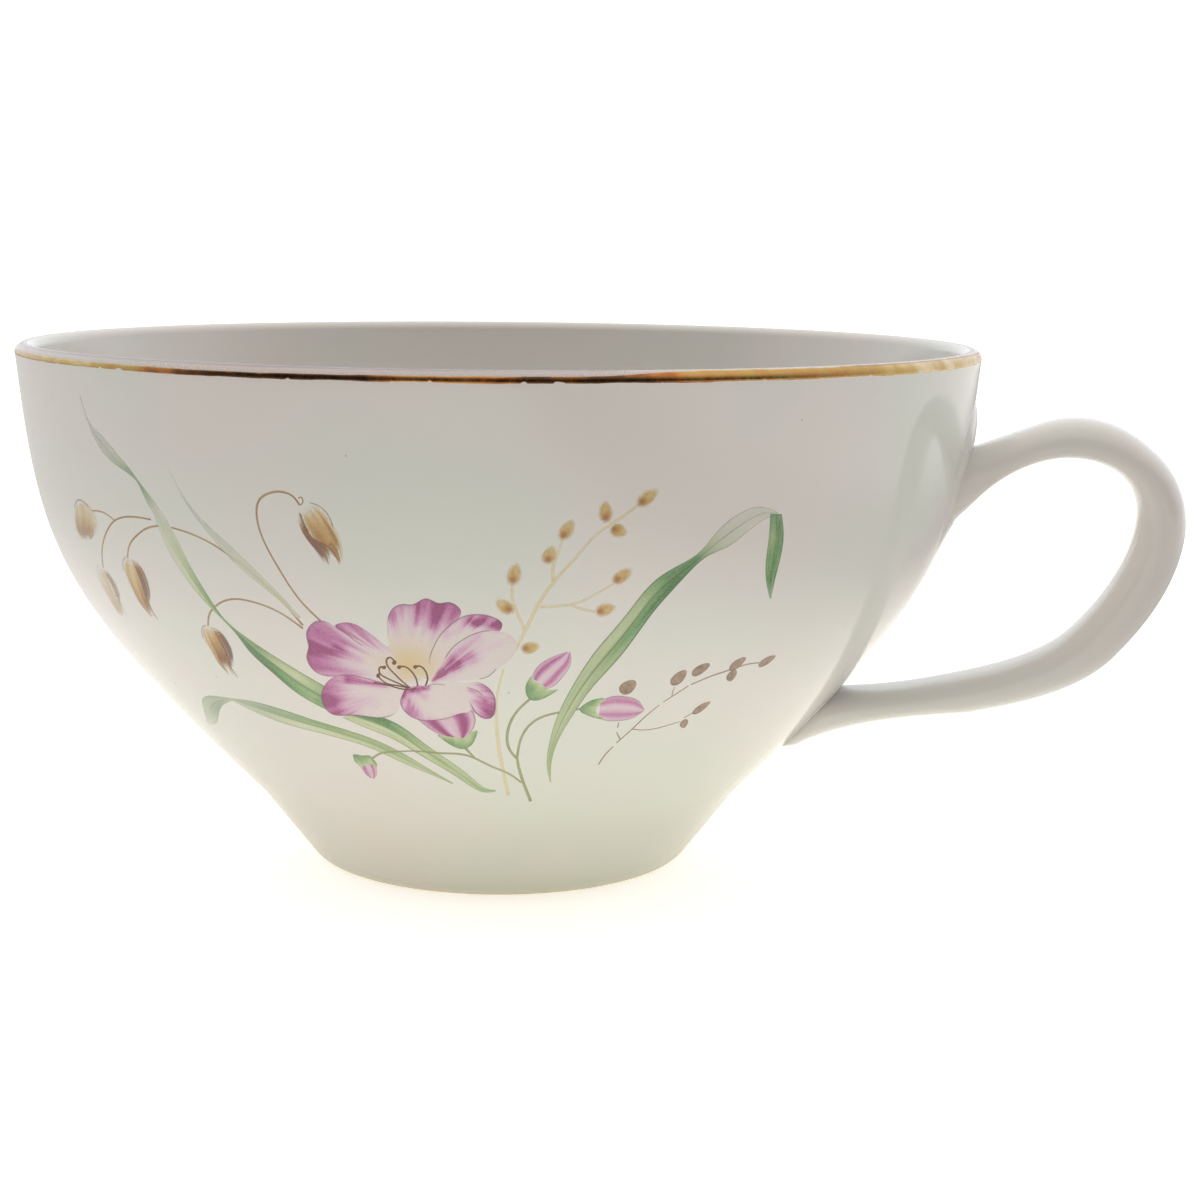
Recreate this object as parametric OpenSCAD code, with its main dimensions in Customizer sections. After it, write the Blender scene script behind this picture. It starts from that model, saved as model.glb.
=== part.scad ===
// Porcelain teacup: a low, wide bowl on a small foot, with a slip-cast loop
// handle luted to the wall, a glaze coat, a gilded lip and a fired flower spray.
// The cup stands on z = 0, its axis is Z and the handle points along +X.

/* [Bowl] */
// Outside diameter of the rim
rim_d = 100; // [90:1:105]
// Height from the table to the top of the lip
cup_h = 55; // [52:1:58]
// Diameter of the lower wall where the foot begins
ankle_d = 52; // [50:0.5:54]
// Wall thickness at the rim
lip_t = 2.0; // [1.8:0.1:2.4]
// Wall thickness low on the side
side_t = 3.0; // [2.6:0.1:3.4]
// Height of the inside floor above the table
floor_z = 6.5; // [6:0.1:8]

/* [Foot] */
// Height of the foot ring
foot_h = 8.4; // [8:0.1:9]
// Lean of the foot's side from upright
foot_lean = 38; // [34:1:40]
// Rounding of the foot's outer edge
edge_r = 3; // [2.5:0.1:3.4]
// Width of the standing ring
stand_w = 2.4; // [2:0.1:3]
// Height of the glazed recess under the floor
recess_z = 3.0; // [2.5:0.1:3.2]

/* [Handle] */
// How far the handle reaches from the cup's axis
handle_reach = 71; // [68:0.5:74]
// Width of the handle's strap
strap_w = 9; // [8:0.5:10]
// Width of the pad where the strap meets the wall
pad_w = 11; // [10:0.5:12]
// Thickness of the slip that lutes the handle to the wall
slip_t = 0.6; // [0.4:0.1:0.8]

/* [Glaze and decoration] */
// Thickness of the glaze coat
glaze_t = 0.2; // [0.15:0.05:0.3]
// Thickness of the gilding and of the fired enamel
paint_t = 0.06; // [0.04:0.01:0.1]
// Height of the gold line on the lip
gold_h = 1.2; // [1.1:0.1:2]
// Direction that the flower spray faces, from the handle
spray_turn = -77; // [-120:1:-60]

/* [Hidden] */

rim_r = rim_d / 2;
ankle_r = ankle_d / 2;
lip_r = lip_t / 2;
// The foot's rounded edge touches both the leaning side and the table
edge_top = edge_r * (1 - sin(foot_lean));
edge_mid = [ankle_r - (foot_h - edge_top) * tan(foot_lean) - edge_r * cos(foot_lean), edge_r];
stand_r = edge_mid[0];
recess_r = stand_r - stand_w - 1.6;
// Where the bowl sits on the foot ring: this far below the ankle, this far in from the edge
seat_drop = 2.6;
seat_r = recess_r + 2;
wall_steps = 26;
ring_sides = 20;
rings_each = 6;
porcelain = "#f1ece0";
glaze_tint = "#efeade";
gold = "#c9a24a";

// ---- curves ----

// A point on the cubic curve with ends p, s and handles q, r
function cubic(p, q, r, s, t) =
    pow(1 - t, 3) * p + 3 * t * pow(1 - t, 2) * q + 3 * t * t * (1 - t) * r + pow(t, 3) * s;
function cubic_run(c, n) = [for (i = [0 : n]) cubic(c[0], c[1], c[2], c[3], i / n)];
// A point on a chain of cubics, t counting whole pieces; each next piece gives three more points
function chain(c, t) =
    let (k = min(floor(t), (len(c) - 1) / 3 - 1))
    cubic(c[3 * k], c[3 * k + 1], c[3 * k + 2], c[3 * k + 3], t - k);

// ---- the bowl's section, in [radius, height] ----

// Outer wall from under the lip down to the ankle: upright at the rim, 45 degrees low down
wall_out = [
    [rim_r, cup_h - lip_r],
    [rim_r - 2, cup_h - 20.5],
    [ankle_r + 21, foot_h + 21.3],
    [ankle_r, foot_h]
];
// Inner wall from the lip down, then the floor
wall_in = [
    [rim_r - lip_t, cup_h - lip_r],
    [rim_r - lip_t - 2, cup_h - 20.5],
    [ankle_r + 18.8, foot_h + 22.3],
    [ankle_r - 1.6, foot_h + side_t - 0.3]
];
floor_in = [
    wall_in[3],
    wall_in[3] - [3.6, 3.5],
    [12, floor_z],
    [0, floor_z]
];
lip_mid = [rim_r - lip_r, cup_h - lip_r];

// The lip's round, from angle a to angle b about its middle, at radius r
function lip_arc(a, b, r, n = 5) =
    [for (i = [0 : n]) let (w = a + (b - a) * i / n) lip_mid + r * [cos(w), sin(w)]];
// The run of points moved sideways by d, square to the run
function moved(run, d) = [
    for (i = [0 : len(run) - 1])
        let (
            a = run[max(i - 1, 0)],
            b = run[min(i + 1, len(run) - 1)],
            u = (b - a) / norm(b - a)
        )
        run[i] + d * [u[1], -u[0]]
];
function reversed(run) = [for (i = [len(run) - 1 : -1 : 0]) run[i]];

outer_run = cubic_run(wall_out, wall_steps);
inner_run = concat(cubic_run(wall_in, wall_steps), [
    for (i = [1 : 9]) cubic(floor_in[0], floor_in[1], floor_in[2], floor_in[3], i / 10)
]);
core_out = moved(outer_run, glaze_t);
core_in = moved(inner_run, -glaze_t);

// Outer radius of the glazed wall at a height
wall_table = reversed([for (p = outer_run) [p[1], p[0]]]);
function wall_r(z) = lookup(z, wall_table);

module bowl() {
    color(porcelain)
    rotate_extrude($fn = 96)
        polygon(concat(
            [[0, floor_z - glaze_t], [0, recess_z + glaze_t], [recess_r, recess_z + glaze_t]],
            [[seat_r, foot_h - seat_drop], [core_out[wall_steps][0], foot_h]],
            reversed(core_out),
            lip_arc(0, 180, lip_r - glaze_t, 8),
            core_in
        ));
}

// The foot: outside it carries the wall down to a rounded edge, inside it is hollowed
module foot_ring() {
    inner = stand_r - stand_w;
    color(porcelain)
    rotate_extrude($fn = 96)
        polygon(concat(
            [[seat_r, foot_h - seat_drop], [recess_r, recess_z + glaze_t], [inner - 1.2, recess_z - 0.4]],
            [[inner - 0.4, 0.5], [inner, 0], [stand_r + 0.2, 0]],
            [for (w = [-74 : 12 : -foot_lean]) edge_mid + (edge_r - glaze_t) * [cos(w), sin(w)]],
            [[core_out[wall_steps][0], foot_h]]
        ));
}

// ---- the handle ----

// Edge of the loop away from the cup, from the wall round and back to the wall
reach = handle_reach;
loop_out = [
    [49.2, 49.4], [50.0, 45.2], [52.6, 46.6], [56.6, 47.9],
    [60.4, 49.1], [64.2, 48.2], [reach - 3.7, 45.4],
    [reach - 0.7, 43.0], [reach + 0.3, 39.6], [reach - 0.1, 36.4],
    [reach - 0.7, 31.8], [67.6, 27.6], [64.2, 23.9],
    [60.8, 20.4], [55.0, 18.9], [50.0, 17.8],
    [44.5, 16.6], [36.6, 15.6], [31.0, 11.6]
];
// Edge of the loop towards the cup
loop_in = [
    [42.0, 26.8], [44.6, 31.5], [46.6, 36.2], [49.0, 38.9],
    [51.8, 42.4], [55.9, 44.6], [59.5, 44.5],
    [63.6, 44.4], [reach - 4.7, 42.0], [reach - 4.9, 38.5],
    [reach - 5.1, 34.6], [63.4, 30.0], [59.6, 26.3],
    [56.0, 23.0], [50.0, 21.8], [45.1, 20.6],
    [41.6, 19.8], [38.8, 19.5], [36.9, 19.4]
];
loop_len = (len(loop_out) - 1) / 3;
// How much wider than the strap the section is: 1 at a root, 0 once clear of it
function root(t) = pow(max(0, 1 - t), 2) + pow(max(0, 1 - (loop_len - t)), 2);

// One closed section of the loop at t, skin being what is taken off all round. The end sections
// lie on the wall, and the others stay clear of it by a little more at each step
function section(t, skin, lift) =
    let (
        o = chain(loop_out, t),
        i = chain(loop_in, t),
        mid = (o + i) / 2,
        half = (o - i) / 2,
        unit = half / norm(half),
        a = norm(half) - skin,
        b = (strap_w + (pad_w - strap_w) * root(t)) / 2 - skin,
        to_end = min(t, loop_len - t)
    )
    [
        for (k = [0 : ring_sides - 1])
            let (
                w = 360 * k / ring_sides,
                p = mid + unit * a * cos(w),
                y = b * sin(w),
                r = wall_r(p[1]) + lift,
                wall_x = sqrt(r * r - y * y) + to_end
            )
            [to_end < 0.001 ? wall_x : max(p[0], wall_x), y, p[1]]
    ];

// A closed skin over sections: sides, then the two ends
function skin_faces(m, n) = concat(
    [for (j = [0 : m - 2], k = [0 : n - 1])
        [j * n + k, j * n + (k + 1) % n, (j + 1) * n + (k + 1) % n]],
    [for (j = [0 : m - 2], k = [0 : n - 1])
        [j * n + k, (j + 1) * n + (k + 1) % n, (j + 1) * n + k]]
);
function fan(first, n, centre, flip) = [
    for (k = [0 : n - 1])
        let (a = first + k, b = first + (k + 1) % n)
        flip ? [centre, b, a] : [centre, a, b]
];
function middle(ring) = [for (i = [0 : 2]) (ring[0][i] + ring[len(ring) / 2][i]) / 2];
// The middle of a root pad, on the wall
function pad_middle(ring, lift) =
    let (m = middle(ring))
    [wall_r(m[2]) + lift, 0, m[2]];

module solid_of(sections, mid_a, mid_b) {
    m = len(sections);
    n = len(sections[0]);
    points = concat([for (s = sections) for (p = s) p], [mid_a, mid_b]);
    polyhedron(points, concat(
        skin_faces(m, n),
        fan(0, n, m * n, true),
        fan((m - 1) * n, n, m * n + 1, false)
    ));
}

stations = [for (j = [0 : loop_len * rings_each]) j / rings_each];

// The loop's sections; the first and last lie on the slip pads
function loop_sections(skin) = [for (t = stations) section(t, skin, slip_t)];

module handle() {
    s = loop_sections(glaze_t);
    color(porcelain)
    solid_of(s, pad_middle(s[0], slip_t), pad_middle(s[len(s) - 1], slip_t));
}

// The glaze over the handle: the space between the full and the bare sections
module glaze_handle() {
    full = loop_sections(0);
    bare = loop_sections(glaze_t);
    m = len(full);
    n = ring_sides;
    inner = m * n;
    points = concat([for (s = full) for (p = s) p], [for (s = bare) for (p = s) p]);
    color(glaze_tint)
    polyhedron(points, concat(
        skin_faces(m, n),
        [for (f = skin_faces(m, n)) [f[0] + inner, f[2] + inner, f[1] + inner]],
        [for (k = [0 : n - 1]) [(k + 1) % n, k, k + inner]],
        [for (k = [0 : n - 1]) [(k + 1) % n, k + inner, (k + 1) % n + inner]],
        [for (k = [0 : n - 1]) let (a = inner - n) [a + k, a + (k + 1) % n, a + k + inner]],
        [for (k = [0 : n - 1]) let (a = inner - n)
            [a + (k + 1) % n, a + (k + 1) % n + inner, a + k + inner]]
    ));
}

// The pad of slip between the bare wall and one end of the loop
module slip_pad(t) {
    low = section(t, 0, 0);
    high = section(t, 0, slip_t);
    rings = t < 1 ? [low, high] : [high, low];
    lift = t < 1 ? [0, slip_t] : [slip_t, 0];
    solid_of(rings, pad_middle(rings[0], lift[0]), pad_middle(rings[1], lift[1]));
}

module handle_upper_joint() {
    color(porcelain) slip_pad(0);
}

module handle_lower_joint() {
    color(porcelain) slip_pad(loop_len);
}

// ---- glaze and gilding ----

module coat(run, thick) {
    rotate_extrude($fn = 96)
        polygon(concat(run, reversed(moved(run, thick))));
}

module glaze_outside() {
    foot_run = [for (w = [-foot_lean : -8 : -78]) edge_mid + edge_r * [cos(w), sin(w)]];
    color(glaze_tint)
    coat(concat(lip_arc(90, 18, lip_r, 4), outer_run, foot_run), glaze_t);
}

module glaze_inside() {
    color(glaze_tint)
    rotate_extrude($fn = 96)
        polygon(concat(
            lip_arc(90, 162, lip_r, 4), inner_run, [[0, floor_z], [0, floor_z - glaze_t]],
            reversed(core_in), reversed(lip_arc(90, 162, lip_r - glaze_t, 4))
        ));
}

// The glazed recess inside the foot
module glaze_underside() {
    color(glaze_tint)
    translate([0, 0, recess_z])
        cylinder(h = glaze_t, r = recess_r, $fn = 96);
}

// A film of gold on the outer shoulder of the lip
module rim_gilding() {
    t_low = (gold_h - lip_r) / (3 * (wall_out[0] - wall_out[1])[1]);
    low = [for (i = [0 : 3]) cubic(wall_out[0], wall_out[1], wall_out[2], wall_out[3], t_low * i / 3)];
    color(gold)
    coat(moved(concat(lip_arc(75, 10, lip_r, 4), low), -paint_t), paint_t);
}

// ---- the fired spray, in [degrees right of its middle, height, half width in mm] ----

// A point on the wall, lifted by up
function on_wall(a, z, up) =
    let (r = wall_r(z) + up, w = a + spray_turn)
    [r * cos(w), r * sin(w), z];

// Four corners of a brush stroke at point j, square to its run
function stroke_section(path, j) =
    let (
        p = path[j],
        a = path[max(j - 1, 0)],
        b = path[min(j + 1, len(path) - 1)],
        mm = wall_r(p[1]) * PI / 180,
        run = [(b[0] - a[0]) * mm, b[1] - a[1]],
        side = [-run[1], run[0]] / norm(run) * p[2],
        da = side[0] / mm,
        dz = side[1] * 0.8
    )
    [
        on_wall(p[0] - da, p[1] - dz, 0),
        on_wall(p[0] + da, p[1] + dz, 0),
        on_wall(p[0] + da, p[1] + dz, paint_t),
        on_wall(p[0] - da, p[1] - dz, paint_t)
    ];

// The path with steps put between its points, so that a long stroke follows the round wall
function finer(path, steps) = concat([
    for (j = [0 : len(path) - 2], i = [0 : steps - 1])
        path[j] + (path[j + 1] - path[j]) * i / steps
], [path[len(path) - 1]]);

module stroke(points, steps = 1) {
    path = finer(points, steps);
    s = [for (j = [0 : len(path) - 1]) stroke_section(path, j)];
    m = len(s);
    polyhedron([for (r = s) for (p = r) p], concat(
        skin_faces(m, 4),
        [[0, 3, 2], [0, 2, 1]],
        [[4 * m - 4, 4 * m - 3, 4 * m - 2], [4 * m - 4, 4 * m - 2, 4 * m - 1]]
    ));
}

// A line of one width
module line(points, half = 0.22) {
    stroke([for (p = points) [p[0], p[1], half]]);
}

// A petal, bud or seed: an oval stroke from its base to its tip
module oval(base, tip, half) {
    share = [0.35, 0.85, 1, 0.9, 0.35];
    stroke([for (i = [0 : 4]) let (p = base + (tip - base) * i / 4) [p[0], p[1], half * share[i]]]);
}

// Open flower: petals about the throat, each [tip, half width], set clear of one another
throat = [-11, 26.5];
petals = [
    [[-24, 29], 2.2], [[-18, 32.6], 1.4], [[-9, 34.8], 2.4], [[-1.5, 33.4], 1.3],
    [[1.8, 29.6], 1.5], [[-1.6, 24.4], 1.5], [[-8.4, 22], 1.5], [[-23.6, 23.4], 1.9]
];
module enamel_flower() {
    color("#b86fae")
    for (p = petals) oval(throat + (p[0] - throat) * 0.3, p[0], p[1]);
}

buds = [
    [[-6, 20], [-7.5, 23], 2.2],
    [[5, 25.5], [8, 29.5], 1.3],
    [[10.5, 23.5], [19, 23.5], 1.3],
    [[-24, 17.5], [-22, 14.5], 0.8]
];
module enamel_buds() {
    color("#b86fae")
    for (b = buds) oval(b[0], b[1], b[2]);
}

// The long left blade, a faint one, two low ones, the right blade and its hanging tip
leaves = [
    [
        [-51.5, 51, 0.2], [-47, 46.5, 1.0], [-43.5, 44.2, 0.6], [-40, 40, 1.1],
        [-36.5, 33, 1.3], [-29, 27, 1.1], [-24.5, 24.5, 1.0]
    ],
    [[-37.5, 45.5, 0.2], [-32, 39.5, 0.8], [-25.5, 34.5, 0.8], [-23, 32, 0.4]],
    [
        [-56, 18.5, 0.2], [-48, 21, 0.5], [-43, 22, 1.0], [-38, 22, 0.9],
        [-27.5, 21, 0.9], [-17, 18.5, 0.9], [-7, 14.5, 0.2]
    ],
    [[-22.5, 22.5, 0.8], [-15, 20, 0.9], [-6.5, 16.5, 0.8], [-1.5, 14, 0.2]],
    [
        [8, 15, 0.2], [8.5, 20.5, 0.8], [11.5, 26, 1.5], [16.5, 34, 1.6],
        [22, 39, 0.8], [26, 41, 1.4], [29.5, 42, 0.9]
    ],
    [[30.6, 42, 0.5], [31.3, 39, 0.9], [31.4, 35.5, 0.8], [32.5, 33, 0.2]]
];
module enamel_leaves() {
    color("#5f9460") {
        for (leaf = leaves) stroke(leaf, steps = 3);
    }
}

// The branches stop a stroke's width short of the main stem
stems = [
    [[5.5, 12.5], [3.5, 15.5], [2.5, 17.5], [1, 20], [1, 22], [2, 23.5], [3.5, 24.5], [5, 25.5]],
    [[3.2, 19.6], [4, 22], [6, 23], [7.5, 23.5], [10.5, 23.5]],
    [[-20, 17.5], [-16.5, 18.5], [-10.5, 18.5], [-7.5, 18.5], [-3, 18], [0.5, 16.6], [2.2, 15.6]],
    [[-6, 20.8], [-5, 20], [-4.5, 19.4]]
];
module enamel_stems() {
    color("#6f7a3c")
    for (s = stems) line(s);
}

oat_stems = [
    [
        [-23, 31.5], [-25.5, 34.5], [-30, 37], [-34.5, 39],
        [-39, 40], [-41.5, 39.5], [-45, 38.5], [-47.5, 36]
    ],
    [[-41.5, 40.5], [-45, 40.5], [-49, 39.5], [-52.5, 37], [-55, 34.5]],
    [[-48.5, 40], [-50, 40.5], [-53, 40], [-55, 39.5]],
    [[-23.5, 31.5], [-26.5, 33], [-29.5, 33.5], [-32, 33.5], [-35, 33], [-36.5, 31.5], [-37.5, 30.5]],
    [[-21, 32.5], [-24, 35.5], [-26, 38], [-26.5, 41], [-26, 43], [-24.5, 44], [-22.5, 44], [-21.5, 43.5]]
];
oat_bells = [
    [[-54, 41], [-57, 37.5], 1.1], [[-56.5, 34.5], [-55.5, 29.5], 1.0], [[-49, 36], [-47, 30], 1.1],
    [[-38.5, 30.5], [-37, 25], 1.3], [[-21.5, 43.5], [-18, 37], 1.9]
];
module enamel_oats() {
    color("#8a6a3a") {
        for (s = oat_stems) line(s, 0.18);
        for (b = oat_bells) oval(b[0], b[1], b[2]);
    }
}

panicle_stems = [
    [
        [1.5, 13.5], [0, 18], [-1, 22.5], [-0.5, 26], [0.5, 29], [2, 31.5],
        [3.5, 34], [5.5, 36.5], [8, 39], [10, 41], [13, 43]
    ],
    [[2.5, 32.5], [1, 34], [1, 36]], [[5.5, 36.5], [5.5, 38.5], [6, 40]],
    [[4, 34], [7.5, 34.5], [10, 35], [11.5, 36]], [[7.5, 34], [9.5, 33.5]]
];
grains = [
    [14.5, 44], [10, 42.5], [11.5, 41], [6, 41], [4.5, 38.5],
    [1, 37], [0, 34], [12.5, 37], [11, 34], [3, 30]
];
module enamel_panicle() {
    color("#c9a55a") {
        for (s = panicle_stems) line(s, 0.16);
        for (g = grains) oval(g - [0.5, 0.9], g + [0.5, 0.9], 0.7);
    }
}

sprig_stems = [
    [[15.5, 17], [17.5, 20], [18.5, 21], [21, 23.5], [24.5, 25], [28.5, 26.5], [31.5, 27], [34.5, 27]],
    [[18.5, 21], [22, 20.5], [25.5, 21], [27.5, 22.5]], [[17.5, 20], [15.5, 22]]
];
seeds = [
    [16, 26], [22.5, 26.5], [25, 27.2], [30.5, 27.8],
    [31, 25.8], [35.5, 27.2], [28.5, 22.5], [27, 21]
];
module enamel_brown_sprig() {
    color("#8a6a5a") {
        for (s = sprig_stems) line(s, 0.14);
        for (s = seeds) oval(s - [0.9, 0.2], s + [0.9, 0.2], 0.7);
    }
}

bowl();
foot_ring();
handle();
handle_upper_joint();
handle_lower_joint();
glaze_outside();
glaze_inside();
glaze_underside();
glaze_handle();
rim_gilding();
enamel_flower();
enamel_buds();
enamel_leaves();
enamel_stems();
enamel_oats();
enamel_panicle();
enamel_brown_sprig();
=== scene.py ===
"""Looks for a low, wide porcelain teacup: a thrown bowl on a small foot, a loop handle luted to its
side, a gold line on the lip and a spray of wild flowers, grasses and oats in fired enamel.

Lengths are in millimetres until a mesh is made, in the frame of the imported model: the cup stands on
z = 0, its axis is Z and the handle points along +X.
"""

import math

import bpy
import numpy as np
from mathutils import Matrix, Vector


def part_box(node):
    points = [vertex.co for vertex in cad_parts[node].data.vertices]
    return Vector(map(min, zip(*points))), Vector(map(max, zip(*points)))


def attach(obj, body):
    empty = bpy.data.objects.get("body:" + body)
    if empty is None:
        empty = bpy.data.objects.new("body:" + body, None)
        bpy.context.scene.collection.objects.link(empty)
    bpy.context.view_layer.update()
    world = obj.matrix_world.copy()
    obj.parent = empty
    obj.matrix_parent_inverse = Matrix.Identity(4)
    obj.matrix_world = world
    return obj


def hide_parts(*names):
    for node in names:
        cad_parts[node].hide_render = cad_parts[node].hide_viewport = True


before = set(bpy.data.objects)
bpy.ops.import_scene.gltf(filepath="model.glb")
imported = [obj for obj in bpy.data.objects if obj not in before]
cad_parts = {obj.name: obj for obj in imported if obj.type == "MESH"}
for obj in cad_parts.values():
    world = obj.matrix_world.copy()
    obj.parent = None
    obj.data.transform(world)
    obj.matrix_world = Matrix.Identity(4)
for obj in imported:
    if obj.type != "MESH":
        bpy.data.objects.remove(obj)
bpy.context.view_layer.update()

MM = 0.001

# ---- sizes that the frame gives ----

glazed_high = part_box("glaze_outside")[1]
foot_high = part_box("foot_ring")[1]
recess_low, recess_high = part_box("glaze_underside")

RIM_R = round(glazed_high.x / MM, 1)
CUP_H = round(glazed_high.z / MM, 1)
FOOT_H = round(foot_high.z / MM, 1)
RECESS_R = round(recess_high.x / MM, 1)
RECESS_Z = round(recess_low.z / MM, 1)

# ---- sizes of the making ----

ANKLE_R = 26.0  # where the wall meets the foot
LIP_R = 1.0  # the lip is fully rounded
EDGE_R = 3.0  # the foot's rounded outer edge
FOOT_LEAN = math.radians(38)  # lean of the foot's side from upright
STAND_W = 2.4  # width of the standing ring
FLOOR_Z = 6.5  # the inside floor
SPRAY_TURN = -77.0  # degrees from the handle to the middle of the spray

edge_top = EDGE_R * (1 - math.sin(FOOT_LEAN))
EDGE_MID = np.array([
    ANKLE_R - (FOOT_H - edge_top) * math.tan(FOOT_LEAN) - EDGE_R * math.cos(FOOT_LEAN),
    EDGE_R,
])
STAND_R = EDGE_MID[0]


# ---- curves ----

def cubic(ends, t):
    """Cubic Bezier: (1-t)^3 p + 3t(1-t)^2 q + 3t^2(1-t) r + t^3 s, for every t at once."""
    p, q, r, s = np.array(ends, float)
    t = np.asarray(t, float)[..., None]
    return (1 - t) ** 3 * p + 3 * t * (1 - t) ** 2 * q + 3 * t**2 * (1 - t) * r + t**3 * s


def chain(points, t):
    """A chain of cubics that share their ends: the whole part of t picks the piece, the rest runs on it."""
    points = np.array(points, float)
    pieces = (len(points) - 1) // 3
    t = np.asarray(t, float)
    piece = np.clip(np.floor(t).astype(int), 0, pieces - 1)
    runs = np.stack([cubic(points[3 * k:3 * k + 4], t - k) for k in range(pieces)])
    return runs[piece, np.arange(len(t))]


def arc(middle, radius, start, end, count):
    """Points on a circle about middle, from start to end in degrees."""
    turn = np.radians(np.linspace(start, end, count))
    return np.array(middle) + radius * np.stack([np.cos(turn), np.sin(turn)], -1)


def smooth(low, high, x):
    """0 below low, 1 above high, and 3s^2 - 2s^3 of the share s between them."""
    share = np.clip((x - low) / (high - low), 0, 1)
    return share * share * (3 - 2 * share)


def spline(points, count):
    """A natural cubic spline through the points, which it meets at even steps of their chord length.

    The second derivatives m solve h0 m0 + 2(h0 + h1) m1 + h1 m2 = 6 (slope1 - slope0), zero at the ends.
    """
    points = np.array(points, float)
    knots = np.concatenate([[0], np.cumsum(np.linalg.norm(np.diff(points[:, :2], axis=0), axis=1))])
    step = np.diff(knots)
    slope = np.diff(points, axis=0) / step[:, None]
    n = len(points)
    system = np.eye(n)
    right = np.zeros_like(points)
    inner = np.arange(1, n - 1)
    system[inner, inner] = 2 * (step[:-1] + step[1:])
    system[inner, inner - 1] = step[:-1]
    system[inner, inner + 1] = step[1:]
    right[inner] = 6 * np.diff(slope, axis=0)
    bend = np.linalg.solve(system, right)
    at = np.linspace(0, knots[-1], count)
    k = np.clip(np.searchsorted(knots, at, side="right") - 1, 0, n - 2)
    a, b = (at - knots[k])[:, None], (knots[k + 1] - at)[:, None]
    h = step[k][:, None]
    return (
        bend[k] * b**3 / (6 * h) + bend[k + 1] * a**3 / (6 * h)
        + (points[k] / h - bend[k] * h / 6) * b + (points[k + 1] / h - bend[k + 1] * h / 6) * a
    )


def noise(x, y, seed):
    """Smooth value noise from 0 to 1: seeded random numbers at whole steps of x and y, blended between."""
    corners = np.random.default_rng(seed).random((64, 64))
    i, j = np.floor(x).astype(int), np.floor(y).astype(int)
    s, t = smooth(0, 1, x - i), smooth(0, 1, y - j)
    low = corners[i % 64, j % 64] * (1 - s) + corners[(i + 1) % 64, j % 64] * s
    high = corners[i % 64, (j + 1) % 64] * (1 - s) + corners[(i + 1) % 64, (j + 1) % 64] * s
    return low * (1 - t) + high * t


# ---- meshes from grids ----

def grid_faces(rows, columns, round_columns):
    """Quads of a grid of rows by columns, as numbers of its points; round_columns joins last to first."""
    index = np.arange(rows * columns).reshape(rows, columns)
    if round_columns:
        index = np.concatenate([index, index[:, :1]], axis=1)
    a, b, c, d = index[:-1, :-1], index[:-1, 1:], index[1:, 1:], index[1:, :-1]
    return np.stack([a, b, c, d], -1).reshape(-1, 4)


def new_piece(name, points, faces, material, uv=None, paint=None):
    """A smooth mesh object from points in mm; uv and paint are given for each point."""
    mesh = bpy.data.meshes.new(name)
    mesh.from_pydata((np.asarray(points) * MM).tolist(), [], faces)
    mesh.shade_smooth()
    if uv is not None:
        corner = np.zeros(len(mesh.loops), np.int32)
        mesh.loops.foreach_get("vertex_index", corner)
        mesh.uv_layers.new(name="along").data.foreach_set("uv", uv[corner].astype(np.float32).ravel())
    if paint is not None:
        colours = mesh.color_attributes.new(name="paint", type="FLOAT_COLOR", domain="POINT")
        colours.data.foreach_set("color", paint.astype(np.float32).ravel())
    mesh.materials.append(material)
    mesh.update()
    piece = bpy.data.objects.new(name, mesh)
    bpy.context.scene.collection.objects.link(piece)
    return piece


def lathe(name, profile, sectors, material, closed=False):
    """Surface (r cos w, r sin w, z) for the profile's (r, z) and w from 0 to a full turn.

    The profile runs with the solid on its left hand. A closed one meets itself; an open one starts and
    ends on the axis, where the first and last rows become one point each.
    """
    profile = np.array(profile, float)
    turn = np.linspace(0, 2 * np.pi, sectors, endpoint=False)
    ring = profile if closed else profile[1:-1]
    grid = np.stack([
        ring[:, :1] * np.cos(turn),
        ring[:, :1] * np.sin(turn),
        np.repeat(ring[:, 1:], sectors, axis=1),
    ], -1)
    rows = len(ring)
    points = grid.reshape(-1, 3)
    if closed:
        grid = np.concatenate([grid, grid[:1]])
        faces = grid_faces(rows + 1, sectors, True) % (rows * sectors)
        return new_piece(name, points, faces.tolist(), material)
    first, last = rows * sectors, rows * sectors + 1
    points = np.concatenate([points, [[0, 0, profile[0, 1]], [0, 0, profile[-1, 1]]]])
    here = np.arange(sectors)
    after = (here + 1) % sectors
    end = (rows - 1) * sectors
    caps = np.concatenate([
        np.stack([np.full(sectors, first), after, here], -1),
        np.stack([np.full(sectors, last), end + here, end + after], -1),
    ])
    faces = grid_faces(rows, sectors, True).tolist() + caps.tolist()
    return new_piece(name, points, faces, material)


# ---- materials ----

def linear(code, alpha=1.0):
    """An sRGB hex colour as linear red, green, blue and alpha."""
    parts = [int(code[k:k + 2], 16) / 255 for k in (1, 3, 5)]
    return [c / 12.92 if c <= 0.04045 else ((c + 0.055) / 1.055) ** 2.4 for c in parts] + [alpha]


def per(size):
    """The texture scale at which a pattern repeats every size mm."""
    return 1 / (size * MM)


def add(tree, kind, inputs=None, stops=None, **settings):
    """Adds a node: settings are its properties, inputs its sockets' values or the sockets that feed
    them, and stops a colour ramp's places and hex colours."""
    node = tree.nodes.new(kind)
    for key, value in settings.items():
        setattr(node, key, value)
    if stops:
        while len(node.color_ramp.elements) < len(stops):
            node.color_ramp.elements.new(1.0)
        for element, (place, code) in zip(node.color_ramp.elements, stops):
            element.position = place
            element.color = linear(code)
    for key, value in (inputs or {}).items():
        if isinstance(value, bpy.types.NodeSocket):
            tree.links.new(value, node.inputs[key])
        else:
            node.inputs[key].default_value = value
    return node


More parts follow.
